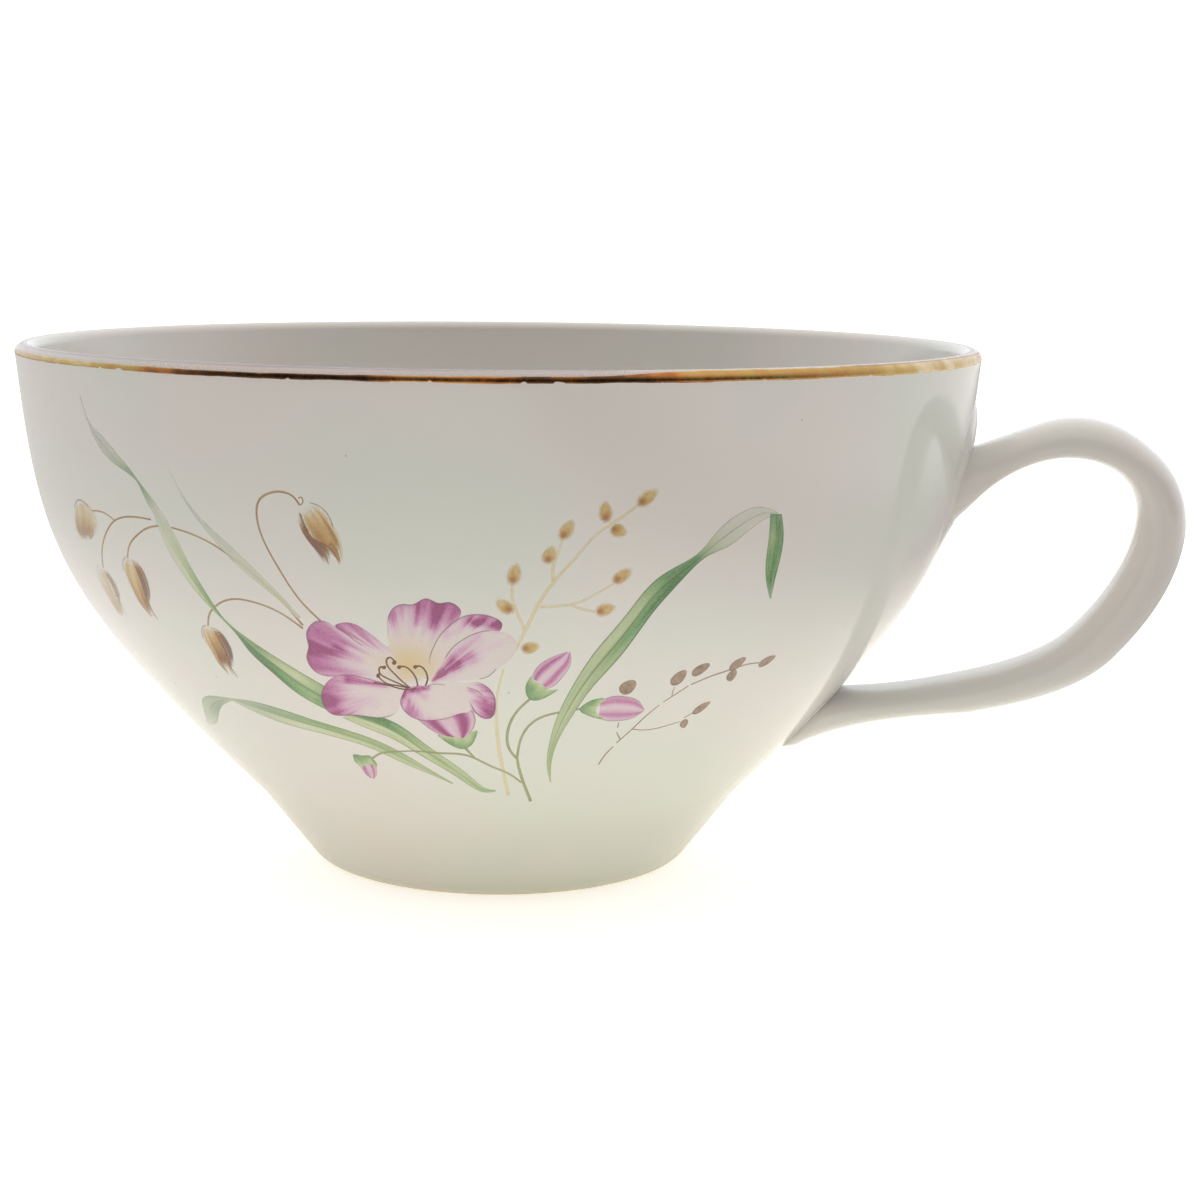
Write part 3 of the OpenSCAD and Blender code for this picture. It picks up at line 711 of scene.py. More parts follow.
def flower_petals():
    """The open flower: its throat and eight petals, laid over each other."""
    patches = [
        throat(),
        petal(5, ((-13.0, 28.6), (-12.8, 28.2)),
              [(-16.0, 29.9), (-17.6, 30.8), (-19.3, 31.8), (-17.9, 32.2), (-16.4, 31.9), (-14.9, 31.0),
               (-13.0, 29.4)],
              (0.5, 0.9, 0.95, 0.8, 0.35), (0.5, 0.75, 0.8, 0.6, 0.2), seed=1),
        petal(6, ((-12.6, 28.2), (-12.4, 26.4)),
              [(-14.6, 29.0), (-17.2, 30.5), (-19.1, 31.5), (-20.9, 32.2), (-22.6, 31.5), (-23.3, 30.5),
               (-23.4, 29.6), (-24.2, 28.3), (-24.1, 27.3), (-22.4, 26.5), (-19.6, 26.7), (-16.0, 26.2)],
              (0.25, 0.5, 0.75, 0.85, 0.8, 0.6, 0.3), (0.4, 0.5, 0.62, 0.75, 0.7, 0.5, 0.35),
              [((-23.6, 30.2), (-19.4, 29.4), 0.75, 0.36), ((-20.0, 29.6), (-17.2, 28.4), 0.3, 0.3),
               ((-23.6, 28.6), (-18.0, 28.2), 1.2, 0.12), ((-21.5, 31.2), (-16.0, 29.6), 0.5, 0.1)],
              0.7, 2),
        petal(6, ((-12.4, 27.2), (-9.5, 27.0)),
              [(-13.0, 29.4), (-13.2, 31.0), (-12.9, 32.6), (-12.2, 33.7), (-10.9, 34.2), (-9.9, 34.2),
               (-8.3, 34.8), (-7.0, 34.4), (-5.8, 34.5), (-4.6, 33.7), (-5.6, 32.4), (-7.3, 31.0),
               (-8.5, 29.2)],
              (0.05, 0.15, 0.42, 0.5, 0.6, 0.62, 0.5, 0.3, 0.05),
              (0.1, 0.3, 0.58, 0.62, 0.78, 0.82, 0.78, 0.52, 0.1),
              [((-9.3, 34.2), (-9.6, 32.4), 0.35, 0.3), ((-7.0, 34.0), (-7.8, 32.2), 0.5, 0.3),
               ((-12.2, 33.0), (-12.0, 31.2), 0.5, 0.18)],
              1.0, 3),
        petal(7, ((-9.6, 27.0), (-8.6, 26.5)),
              [(-8.6, 28.9), (-8.0, 30.1), (-7.2, 31.2), (-5.8, 32.4), (-4.3, 33.2), (-2.6, 33.4),
               (-1.0, 33.1), (-0.1, 32.4), (-0.3, 31.9), (-2.2, 31.7), (-4.4, 31.0), (-6.0, 29.9),
               (-7.0, 28.7)],
              (0.1, 0.12, 0.2, 0.3, 0.2, 0.1, 0.05), (0.12, 0.3, 0.5, 0.8, 0.4, 0.2, 0.1),
              [((-3.2, 32.6), (-0.5, 32.4), 0.45, 0.75), ((-6.5, 31.2), (-3.6, 32.6), 0.4, 0.2)],
              1.0, 4),
        petal(8, ((-8.9, 26.5), (-8.6, 26.3)),
              [(-7.4, 28.3), (-6.0, 29.9), (-4.4, 31.0), (-2.6, 31.7), (-0.6, 31.8), (1.1, 31.2),
               (1.6, 30.4), (1.1, 29.2), (0.0, 28.4), (-1.4, 27.4), (-3.4, 26.9), (-5.4, 26.7),
               (-7.4, 26.6)],
              (0.05, 0.1, 0.06, 0.04, 0.05, 0.06, 0.05), (0.2, 0.2, 0.12, 0.08, 0.1, 0.12, 0.1),
              [((-8.5, 26.8), (-7.2, 27.5), 0.3, 0.9), ((-7.4, 27.5), (-5.6, 28.3), 0.58, 0.85),
               ((-5.8, 28.4), (-3.7, 29.1), 0.7, 0.66), ((-6.0, 29.3), (-2.8, 31.1), 0.5, 0.26),
               ((-4.2, 29.6), (-0.6, 30.6), 0.55, 0.1)],
              0.25, 5),
        petal(9, ((-8.9, 26.2), (-8.5, 26.0)),
              [(-6.6, 26.8), (-4.6, 26.5), (-3.2, 26.6), (-2.0, 26.2), (-1.1, 25.2), (-0.9, 24.0),
               (-1.3, 22.9), (-2.6, 22.7), (-3.7, 23.6), (-4.5, 24.9), (-6.6, 25.4)],
              (0.05, 0.1, 0.32, 0.42, 0.42, 0.3, 0.05), (0.1, 0.2, 0.8, 0.85, 0.8, 0.6, 0.1),
              [((-4.0, 25.7), (-2.2, 24.7), 0.28, 0.5), ((-3.6, 24.6), (-1.8, 23.4), 0.4, 0.3)],
              0.0, 6),
        petal(9, ((-12.9, 25.9), (-12.5, 25.6)),
              [(-15.0, 26.2), (-17.4, 26.6), (-19.6, 26.8), (-21.6, 26.4), (-23.4, 25.3), (-24.5, 23.8),
               (-24.4, 22.6), (-22.8, 22.2), (-20.2, 22.4), (-17.0, 22.3), (-14.4, 22.9), (-13.1, 24.2)],
              (0.3, 0.3, 0.42, 0.58, 0.55, 0.2, 0.05, 0.04), (0.7, 0.5, 0.6, 0.85, 0.8, 0.3, 0.12, 0.1),
              [((-19.6, 26.3), (-14.8, 26.0), 0.4, 0.6), ((-23.6, 24.2), (-22.8, 22.8), 0.7, 0.25),
               ((-21.4, 24.6), (-17.4, 24.0), 0.9, 0.16)],
              0.0, 7),
        petal(11, ((-10.6, 26.1), (-9.8, 26.1)),
              [(-12.2, 25.8), (-12.9, 24.9), (-13.3, 23.8), (-12.6, 22.8), (-11.2, 22.3), (-9.4, 22.3),
               (-7.4, 22.6), (-5.4, 23.2), (-4.1, 23.6), (-4.2, 24.8), (-5.4, 25.7), (-7.4, 26.1)],
              (0.35, 0.45, 0.3, 0.12, 0.06, 0.05, 0.04), (0.75, 0.7, 0.4, 0.2, 0.12, 0.1, 0.08),
              [((-12.4, 25.5), (-9.4, 25.9), 0.35, 0.75), ((-12.4, 24.8), (-11.4, 23.2), 0.6, 0.36),
               ((-11.0, 25.4), (-9.8, 24.9), 0.4, 0.3)],
              0.0, 8),
    ]
    return enamel_piece("flower_petals", MAUVE, patches)


def pen(layer, path, half_width=0.058, cover=0.68):
    """A pen line through (a, z) places, thinning out at both ends."""
    grids = stroke([(a, z, half_width) for a, z in path], 14 * len(path))
    u, v = grids[2], grids[3]
    fade = smooth(0, 0.12, u) * smooth(1, 0.88, u)
    return grids, layer, paint(0.8, 0.0, 1.0, cover * fade * (1 - 0.5 * np.abs(2 * v - 1)))


def flower_pen_lines():
    """Fine dark lines along the petals' edges and folds."""
    lines = [
        [(-8.7, 28.0), (-8.6, 28.9), (-8.0, 30.1), (-7.2, 31.2), (-5.8, 32.4), (-4.3, 33.2), (-2.6, 33.4),
         (-1.0, 33.1), (-0.1, 32.4), (-0.4, 31.9)],
        [(-7.0, 28.7), (-6.0, 29.9), (-4.4, 31.0), (-2.6, 31.7), (-1.0, 31.9)],
        [(-13.1, 32.0), (-12.9, 32.6), (-12.2, 33.7), (-10.9, 34.2), (-9.9, 34.2), (-8.3, 34.8),
         (-7.0, 34.4), (-5.8, 34.5), (-4.6, 33.7)],
        [(-19.6, 31.9), (-18.2, 31.2), (-17.2, 30.4), (-16.2, 29.9)],
        [(-19.4, 31.8), (-20.9, 32.2), (-22.6, 31.5), (-23.3, 30.5), (-23.4, 29.6), (-24.2, 28.3),
         (-24.1, 27.3), (-22.4, 26.5)],
        [(-20.8, 26.7), (-18.6, 26.8), (-16.2, 26.4), (-13.8, 26.0)],
        [(-23.5, 25.2), (-24.5, 23.8), (-24.4, 22.6), (-22.8, 22.2), (-20.2, 22.4), (-17.0, 22.3),
         (-15.0, 22.7), (-14.0, 23.1)],
        [(-12.8, 25.2), (-13.3, 23.8), (-12.6, 22.8), (-11.2, 22.3), (-9.4, 22.3), (-7.4, 22.6),
         (-5.6, 23.1)],
        [(-2.0, 26.2), (-1.1, 25.2), (-0.9, 24.0), (-1.3, 22.9), (-2.6, 22.7), (-3.7, 23.6), (-4.4, 24.8)],
        [(-3.0, 26.9), (-1.8, 27.2), (-0.7, 28.1)],
        [(-4.6, 26.0), (-3.5, 25.8), (-2.4, 25.1)],
        [(-9.4, 26.1), (-8.2, 26.3), (-7.0, 26.2)],
    ]
    return enamel_piece("flower_pen_lines", MAUVE, [pen(13, path) for path in lines])


def flower_stamens():
    """Hooked stamens that rise from one dark line under the throat."""
    paths = [
        [(-11.6, 25.8), (-12.6, 26.6), (-13.4, 27.4), (-13.9, 28.1), (-13.8, 28.7), (-13.3, 28.9),
         (-12.9, 28.5)],
        [(-11.8, 25.8), (-13.2, 26.3), (-14.5, 26.8), (-15.1, 27.3), (-14.9, 27.8), (-14.4, 27.9)],
        [(-11.8, 25.8), (-13.4, 26.0), (-14.8, 26.3), (-15.4, 26.9)],
        [(-10.6, 26.0), (-10.6, 26.7), (-11.0, 27.5), (-11.7, 28.0), (-12.4, 28.0)],
        [(-9.6, 26.1), (-9.2, 26.8), (-9.3, 27.6), (-9.8, 28.1), (-10.4, 28.1)],
        [(-16.2, 26.2), (-14.0, 25.9), (-12.0, 25.6), (-10.8, 25.8)],
    ]
    heads = [((-13.2, 28.2), (-12.7, 28.6)), ((-14.6, 27.7), (-14.1, 28.0)), ((-15.5, 26.7), (-15.2, 27.2)),
             ((-12.7, 27.8), (-12.2, 28.1)), ((-10.7, 27.9), (-10.2, 28.2))]
    patches = []
    for path in paths:
        grids = stroke([(a, z, 0.085) for a, z in path], 12 * len(path))
        patches.append((grids, 14, paint(0.9, 0.0, 1.0, 0.95)))
    for foot, tip in heads:
        patches.append((oval(foot, tip, 0.17), 15, paint(0.9, 0.1, 0.9)))
    return enamel_piece("flower_stamens", IRON_BROWN, patches)


# ---- buds ----

def bud(layer, left, right, depth, seed):
    """A bud from its calyx to its point: dark bands near both sides and streaks, a pale pink middle."""
    grids = strip(spline(left, 60), spline(right, 60), 40)
    u, v = grids[2], grids[3]
    streak = noise(v * 14, u * 2, seed) - 0.5
    bands = np.exp(-((v - 0.2) / 0.13) ** 2) + np.exp(-((v - 0.76) / 0.13) ** 2)
    strength = 0.28 + depth * bands + 0.25 * streak
    edge = 0.6 * smooth(0.06, 0.0, v) + 0.6 * smooth(0.94, 1.0, v)
    return grids, layer, paint(strength, 0.0, edge, smooth(0, 0.06, u))


def bud_petals():
    """Four buds: low, upright, lying and small."""
    low = bud(8, [(-11.8, 22.6), (-10.3, 21.4), (-8.6, 20.6), (-7.0, 20.3)],
              [(-4.0, 23.6), (-3.6, 22.8), (-3.9, 21.6), (-5.2, 20.4)], 0.8, 11)
    upright = bud(5, [(3.5, 26.9), (3.8, 27.8), (4.6, 28.6), (5.8, 29.2), (7.4, 29.7)],
                  [(5.4, 25.8), (6.6, 26.3), (7.4, 27.2), (8.1, 28.4), (7.9, 29.6)], 0.5, 12)
    lying = bud(9, [(12.6, 24.3), (14.0, 24.8), (16.2, 24.7), (18.0, 24.2), (19.4, 23.1)],
                [(12.9, 22.5), (14.4, 22.1), (16.4, 22.0), (18.4, 22.3), (19.4, 22.9)], 0.42, 13)
    small = bud(5, [(-23.6, 16.3), (-23.4, 15.2), (-22.8, 14.8)],
                [(-20.7, 16.9), (-21.0, 15.7), (-22.2, 14.8)], 0.5, 14)
    return enamel_piece("bud_petals", MAUVE, [low, upright, lying, small])


def bud_calyxes():
    """Green cups that hold the buds, with a darker line down their edges."""
    shapes = [
        (10, [(-9.2, 20.6), (-8.2, 19.9), (-7.0, 19.3), (-5.6, 19.1), (-4.2, 19.8), (-3.4, 21.2)],
         [(-9.0, 20.7), (-7.6, 20.5), (-6.2, 20.4), (-5.2, 20.5), (-4.2, 21.1), (-3.5, 21.3)]),
        (6, [(3.4, 27.2), (2.9, 26.4), (2.9, 25.5), (3.4, 24.8), (4.8, 24.7), (6.9, 25.7)],
         [(3.5, 27.2), (3.9, 26.7), (4.6, 26.4), (5.2, 26.1), (5.8, 25.8), (6.9, 25.8)]),
        (10, [(12.9, 24.7), (11.6, 24.5), (10.6, 24.0), (10.2, 23.6), (11.2, 22.9), (13.6, 22.3)],
         [(13.6, 24.5), (13.0, 24.2), (12.6, 23.8), (12.5, 23.4), (12.8, 22.9), (13.9, 22.5)]),
        (7, [(-24.2, 16.8), (-23.9, 17.5), (-22.2, 17.6), (-20.8, 17.6), (-20.3, 16.7)],
         [(-23.6, 16.0), (-23.0, 16.3), (-22.2, 16.4), (-21.4, 16.6), (-20.6, 16.2)]),
    ]
    patches = []
    for layer, outer, inner in shapes:
        grids = strip(spline(outer, 50), spline(inner, 50), 14)
        u, v = grids[2], grids[3]
        tone = 0.9 - 0.5 * v + 0.3 * (noise(u * 12, v * 2, 21) - 0.5)
        patches.append((grids, layer, paint(tone, 0.0, 0.5 * smooth(0.1, 0.0, v))))
    return enamel_piece("bud_calyxes", GREEN, patches)


# ---- leaves ----

def leaf(layer, left, right, tones, seed):
    """A grass leaf between two edges. tones are rows for even steps along it: strength of the left half,
    of the right half, greyness, cover, and how dark its midrib and edges are drawn."""
    grids = strip(spline(left, 170), spline(right, 170), 25)
    u, v = grids[2], grids[3]
    one, two, grey, cover, drawn = (along(u, column) for column in zip(*tones))
    streak = noise(v * 9, u * 7, seed) - 0.5
    strength = one + (two - one) * smooth(0.42, 0.58, v) + 0.22 * streak
    rib = np.exp(-((v - 0.5) / 0.035) ** 2)
    edges = smooth(0.07, 0.0, v) + smooth(0.93, 1.0, v)
    return grids, layer, paint(strength, grey, drawn * np.maximum(0.8 * rib, edges), cover)


def grass_leaves():
    """The blades of grass, each given by its two edges."""
    patches = [
        leaf(2, [(-51.7, 51.2), (-50.6, 48.8), (-49.0, 46.7), (-46.6, 45.3), (-44.2, 44.5), (-42.7, 43.6),
                 (-41.9, 42.2), (-41.0, 40.9), (-40.3, 38.6), (-39.0, 36.2), (-37.3, 33.9), (-34.9, 31.6),
                 (-33.4, 30.0), (-32.6, 28.5), (-30.5, 26.4), (-28.6, 24.7), (-24.2, 22.6)],
             [(-51.4, 51.2), (-50.2, 48.9), (-48.2, 47.8), (-45.9, 46.4), (-43.8, 45.0), (-42.4, 43.8),
              (-41.0, 42.6), (-39.5, 41.2), (-38.0, 38.8), (-36.9, 36.3), (-35.6, 33.7), (-34.2, 31.4),
              (-32.6, 30.2), (-30.9, 29.2), (-28.6, 28.0), (-25.4, 26.4), (-21.4, 24.6)],
             [(0.6, 0.6, 0.9, 0.4, 0.3), (0.36, 0.2, 0.8, 0.5, 0.8), (0.3, 0.2, 0.8, 0.5, 0.8),
              (0.5, 0.3, 0.5, 0.6, 0.8), (0.8, 0.85, 0.2, 0.8, 0.7), (0.85, 0.8, 0.3, 0.8, 0.7),
              (0.4, 0.3, 0.3, 0.5, 0.4), (0.2, 0.3, 0.1, 0.75, 0.1), (0.22, 0.5, 0.0, 0.85, 0.3),
              (0.3, 0.75, 0.0, 0.9, 0.6), (0.55, 0.85, 0.0, 1.0, 0.7), (0.85, 0.7, 0.1, 1.0, 0.8),
              (0.95, 0.8, 0.1, 1.0, 0.9), (0.95, 0.5, 0.0, 1.0, 0.9), (0.85, 0.36, 0.0, 1.0, 0.9),
              (0.7, 0.6, 0.0, 1.0, 0.8), (0.9, 0.95, 0.0, 1.0, 0.6)], 31),
        leaf(1, [(-37.7, 45.5), (-35.6, 42.1), (-33.8, 40.2), (-31.7, 38.2), (-29.4, 36.4), (-26.1, 34.2),
                 (-23.8, 32.2)],
             [(-37.6, 45.5), (-35.2, 42.2), (-32.7, 40.2), (-30.2, 38.5), (-27.2, 36.1), (-25.0, 34.1),
              (-23.4, 32.4)],
             [(0.5, 0.5, 1.0, 0.1, 0.5), (0.4, 0.5, 1.0, 0.4, 0.8), (0.2, 0.3, 0.5, 0.5, 0.5),
              (0.12, 0.25, 0.2, 0.7, 0.45), (0.15, 0.3, 0.1, 0.75, 0.6), (0.25, 0.4, 0.1, 0.7, 0.5)], 32),
        leaf(1, [(-41.5, 22.5), (-37.0, 22.6), (-32.6, 22.2), (-28.4, 21.5), (-23.6, 20.7), (-18.7, 19.6),
                 (-14.8, 18.1), (-11.4, 16.4), (-8.2, 14.9)],
             [(-41.6, 22.2), (-38.0, 21.3), (-34.0, 20.5), (-29.4, 20.0), (-25.0, 19.5), (-19.8, 18.5),
              (-15.8, 17.1), (-11.6, 15.8), (-8.3, 14.7)],
             [(0.6, 0.3, 0.5, 0.8, 0.5), (0.75, 0.3, 0.4, 0.9, 0.6), (0.7, 0.25, 0.1, 1.0, 0.8),
              (0.7, 0.4, 0.0, 1.0, 0.8), (0.6, 0.45, 0.0, 1.0, 0.9), (0.5, 0.4, 0.0, 0.95, 0.9),
              (0.6, 0.5, 0.0, 0.9, 0.7)], 33),
        leaf(2, [(-56.0, 18.2), (-53.0, 19.6), (-49.2, 21.6), (-45.6, 22.3), (-41.4, 22.5)],
             [(-55.4, 17.8), (-51.0, 18.8), (-47.4, 20.3), (-44.6, 21.4), (-41.4, 22.2)],
             [(0.3, 0.3, 0.7, 0.3, 0.2), (0.4, 0.5, 0.6, 0.6, 0.3), (0.6, 0.85, 0.5, 0.85, 0.4),
              (0.6, 0.8, 0.4, 0.9, 0.5), (0.6, 0.4, 0.4, 0.8, 0.5)], 34),
        leaf(3, [(-19.5, 22.8), (-16.6, 22.4), (-14.4, 21.6), (-11.4, 19.6), (-8.6, 17.9), (-5.2, 15.8),
                 (-2.6, 14.3), (-1.0, 14.1)],
             [(-22.6, 22.0), (-19.6, 21.0), (-16.0, 19.9), (-13.2, 18.5), (-9.9, 16.9), (-6.4, 15.1),
              (-3.2, 13.8), (-1.1, 13.9)],
             [(0.9, 0.45, 0.0, 1.0, 0.5), (0.9, 0.35, 0.0, 1.0, 0.7), (0.65, 0.4, 0.0, 1.0, 0.9),
              (0.45, 0.5, 0.0, 1.0, 0.9), (0.5, 0.5, 0.0, 0.95, 0.8), (0.55, 0.6, 0.0, 0.9, 0.6)], 35),
        leaf(8, [(8.1, 15.0), (7.0, 17.2), (6.8, 19.4), (7.4, 23.0), (8.8, 26.3), (11.0, 29.9),
                 (12.7, 31.9), (14.3, 33.9), (16.2, 36.1), (18.8, 37.6), (21.2, 38.8), (23.0, 40.6),
                 (25.2, 42.1), (28.0, 42.7), (30.4, 42.1)],
             [(8.3, 15.0), (7.7, 17.4), (7.9, 19.4), (9.5, 23.0), (11.4, 26.0), (13.9, 28.9),
              (15.5, 31.2), (17.0, 33.4), (18.7, 35.3), (20.4, 37.0), (22.1, 38.3), (24.4, 39.1),
              (26.6, 40.3), (28.8, 41.5), (30.5, 41.9)],
             [(0.55, 0.55, 0.0, 0.85, 0.7), (0.55, 0.65, 0.05, 1.0, 0.9), (0.45, 0.5, 0.1, 1.0, 0.9),
              (0.45, 0.5, 0.1, 1.0, 0.95), (0.48, 0.6, 0.1, 1.0, 1.0), (0.5, 0.8, 0.05, 1.0, 1.0),
              (0.55, 0.95, 0.0, 1.0, 0.95), (0.9, 1.0, 0.0, 1.0, 0.8), (0.9, 0.95, 0.1, 1.0, 0.8),
              (0.2, 0.3, 0.4, 0.65, 0.9), (0.1, 0.12, 0.4, 0.45, 0.9), (0.3, 0.3, 0.4, 0.55, 0.9)], 36),
        leaf(9, [(29.4, 42.0), (29.7, 39.4), (30.0, 37.0), (30.8, 35.2), (31.8, 33.8)],
             [(30.9, 41.9), (31.7, 39.6), (31.8, 37.2), (31.8, 35.3), (32.0, 33.8)],
             [(0.9, 0.9, 0.2, 1.0, 0.5), (0.6, 0.85, 0.1, 1.0, 0.6), (0.8, 0.8, 0.0, 1.0, 0.6),
              (0.9, 0.9, 0.0, 1.0, 0.7), (0.8, 0.8, 0.3, 0.8, 0.9)], 37),
    ]
    return enamel_piece("grass_leaves", GREEN, patches)


# ---- stems ----

def stem(layer, path, strength=0.7, second=0.0, line=0.0, cover=0.9, seed=41):
    """A drawn stem through (a, z, half width) rows; its ink thins and thickens a little."""
    grids = stroke(path, 16 * len(path))
    u, v = grids[2], grids[3]
    ink = noise(u * 9, v, seed) - 0.5
    side = np.abs(2 * v - 1)
    return grids, layer, paint(strength + 0.3 * ink - 0.15 * side, second + 0.2 * side * (second > 0),
                               line * (1 - side), cover * (1 - 0.35 * smooth(0.5, 1, side)))


def flower_stems():
    """Olive stems of the flower and its buds."""
    paths = [
        [(5.3, 12.6, 0.16), (3.5, 15.2, 0.15), (2.5, 17.3, 0.14), (2.2, 18.4, 0.12)],
        [(2.2, 18.0, 0.12), (0.9, 19.4, 0.14), (0.8, 21.4, 0.14), (1.8, 23.3, 0.14), (3.5, 24.8, 0.13)],
        [(2.3, 18.2, 0.12), (2.7, 20.4, 0.13), (4.0, 22.1, 0.13), (5.7, 22.9, 0.13), (8.0, 23.3, 0.12),
         (10.4, 23.6, 0.12)],
        [(-20.6, 17.4, 0.11), (-19.1, 18.0, 0.11), (-16.4, 18.4, 0.1), (-13.3, 18.6, 0.09),
         (-8.9, 18.5, 0.12), (-5.2, 18.3, 0.13), (-1.8, 17.1, 0.12), (1.2, 16.1, 0.11), (3.3, 15.0, 0.1)],
        [(-5.4, 19.2, 0.15), (-4.9, 18.7, 0.13), (-4.2, 18.1, 0.1)],
    ]
    return enamel_piece("flower_stems", OLIVE, [stem(4, path) for path in paths])


def oat_stems():
    """Thin brown stems that bow over to the oats."""
    paths = [
        [(-23.4, 31.6, 0.12), (-25.5, 34.0, 0.11), (-27.7, 35.7, 0.1), (-29.9, 37.2, 0.1),
         (-32.9, 38.7, 0.1), (-36.3, 39.6, 0.1), (-38.6, 39.9, 0.086)],
        [(-40.6, 39.9, 0.086), (-42.3, 39.6, 0.1), (-44.9, 38.6, 0.1), (-47.1, 37.2, 0.1),
         (-47.9, 36.2, 0.086)],
        [(-41.6, 40.4, 0.086), (-45.1, 40.4, 0.1), (-48.6, 39.7, 0.1), (-51.4, 38.1, 0.1),
         (-53.7, 36.1, 0.1), (-54.8, 34.6, 0.086)],
        [(-48.5, 39.8, 0.086), (-50.1, 40.3, 0.086), (-53.2, 40.3, 0.077)],
        [(-23.5, 31.3, 0.12), (-26.0, 32.7, 0.1), (-29.1, 33.5, 0.1), (-31.9, 33.6, 0.1),
         (-34.9, 32.7, 0.1), (-36.6, 31.6, 0.1), (-37.5, 30.5, 0.086)],
        [(-21.0, 32.2, 0.11), (-23.0, 34.1, 0.11), (-24.8, 36.9, 0.1), (-26.2, 39.6, 0.1),
         (-26.6, 41.6, 0.11), (-26.2, 43.0, 0.12), (-24.9, 43.8, 0.12), (-23.2, 44.0, 0.11),
         (-22.0, 43.6, 0.1), (-21.4, 42.9, 0.1)],
        [(-21.5, 43.5, 0.06), (-21.1, 43.6, 0.069), (-21.0, 43.2, 0.069), (-21.4, 42.9, 0.06)],
    ]
    return enamel_piece("oat_stems", IRON_BROWN, [stem(0, path, 0.82, 0.0, 0.35) for path in paths])


def glume(layer, left, right, tones, dark, seed, cover=1.0):
    """One scale of an oat: streaks run down it, from its first tone to its second, its edge dark."""
    grids = strip(spline(left, 70), spline(right, 70), 24)
    u, v = grids[2], grids[3]
    streak = noise(v * 9, u * 1.6, seed) - 0.5
    strength = along(u, tones) + 0.55 * streak
    violet = dark * smooth(0.15, 0.6, u) * (0.6 + streak)
    fade = smooth(0, 0.3, u) * smooth(1.04, 0.8, u + 0.3 * streak) * smooth(0, 0.2, v) * smooth(1, 0.8, v)
    return grids, layer, paint(strength, violet, 0.0, cover * fade)


def hanging_husk(pale, slate, bristle, cover, seed):
    """A hanging oat: a pale scale between two edges, a slate one along its right side and its bristle."""
    return [
        glume(6, pale[0], pale[1], (0.3, 0.36, 0.5, 0.7, 0.85, 0.8), 0.0, seed, cover),
        glume(7, slate[0], slate[1], (0.85, 0.95, 0.9, 0.8), 1.15, seed + 1, cover),
        pen(8, bristle, 0.09, 0.7 * cover),
        pen(8, pale[0][:3], 0.06, 0.6 * cover),
    ]


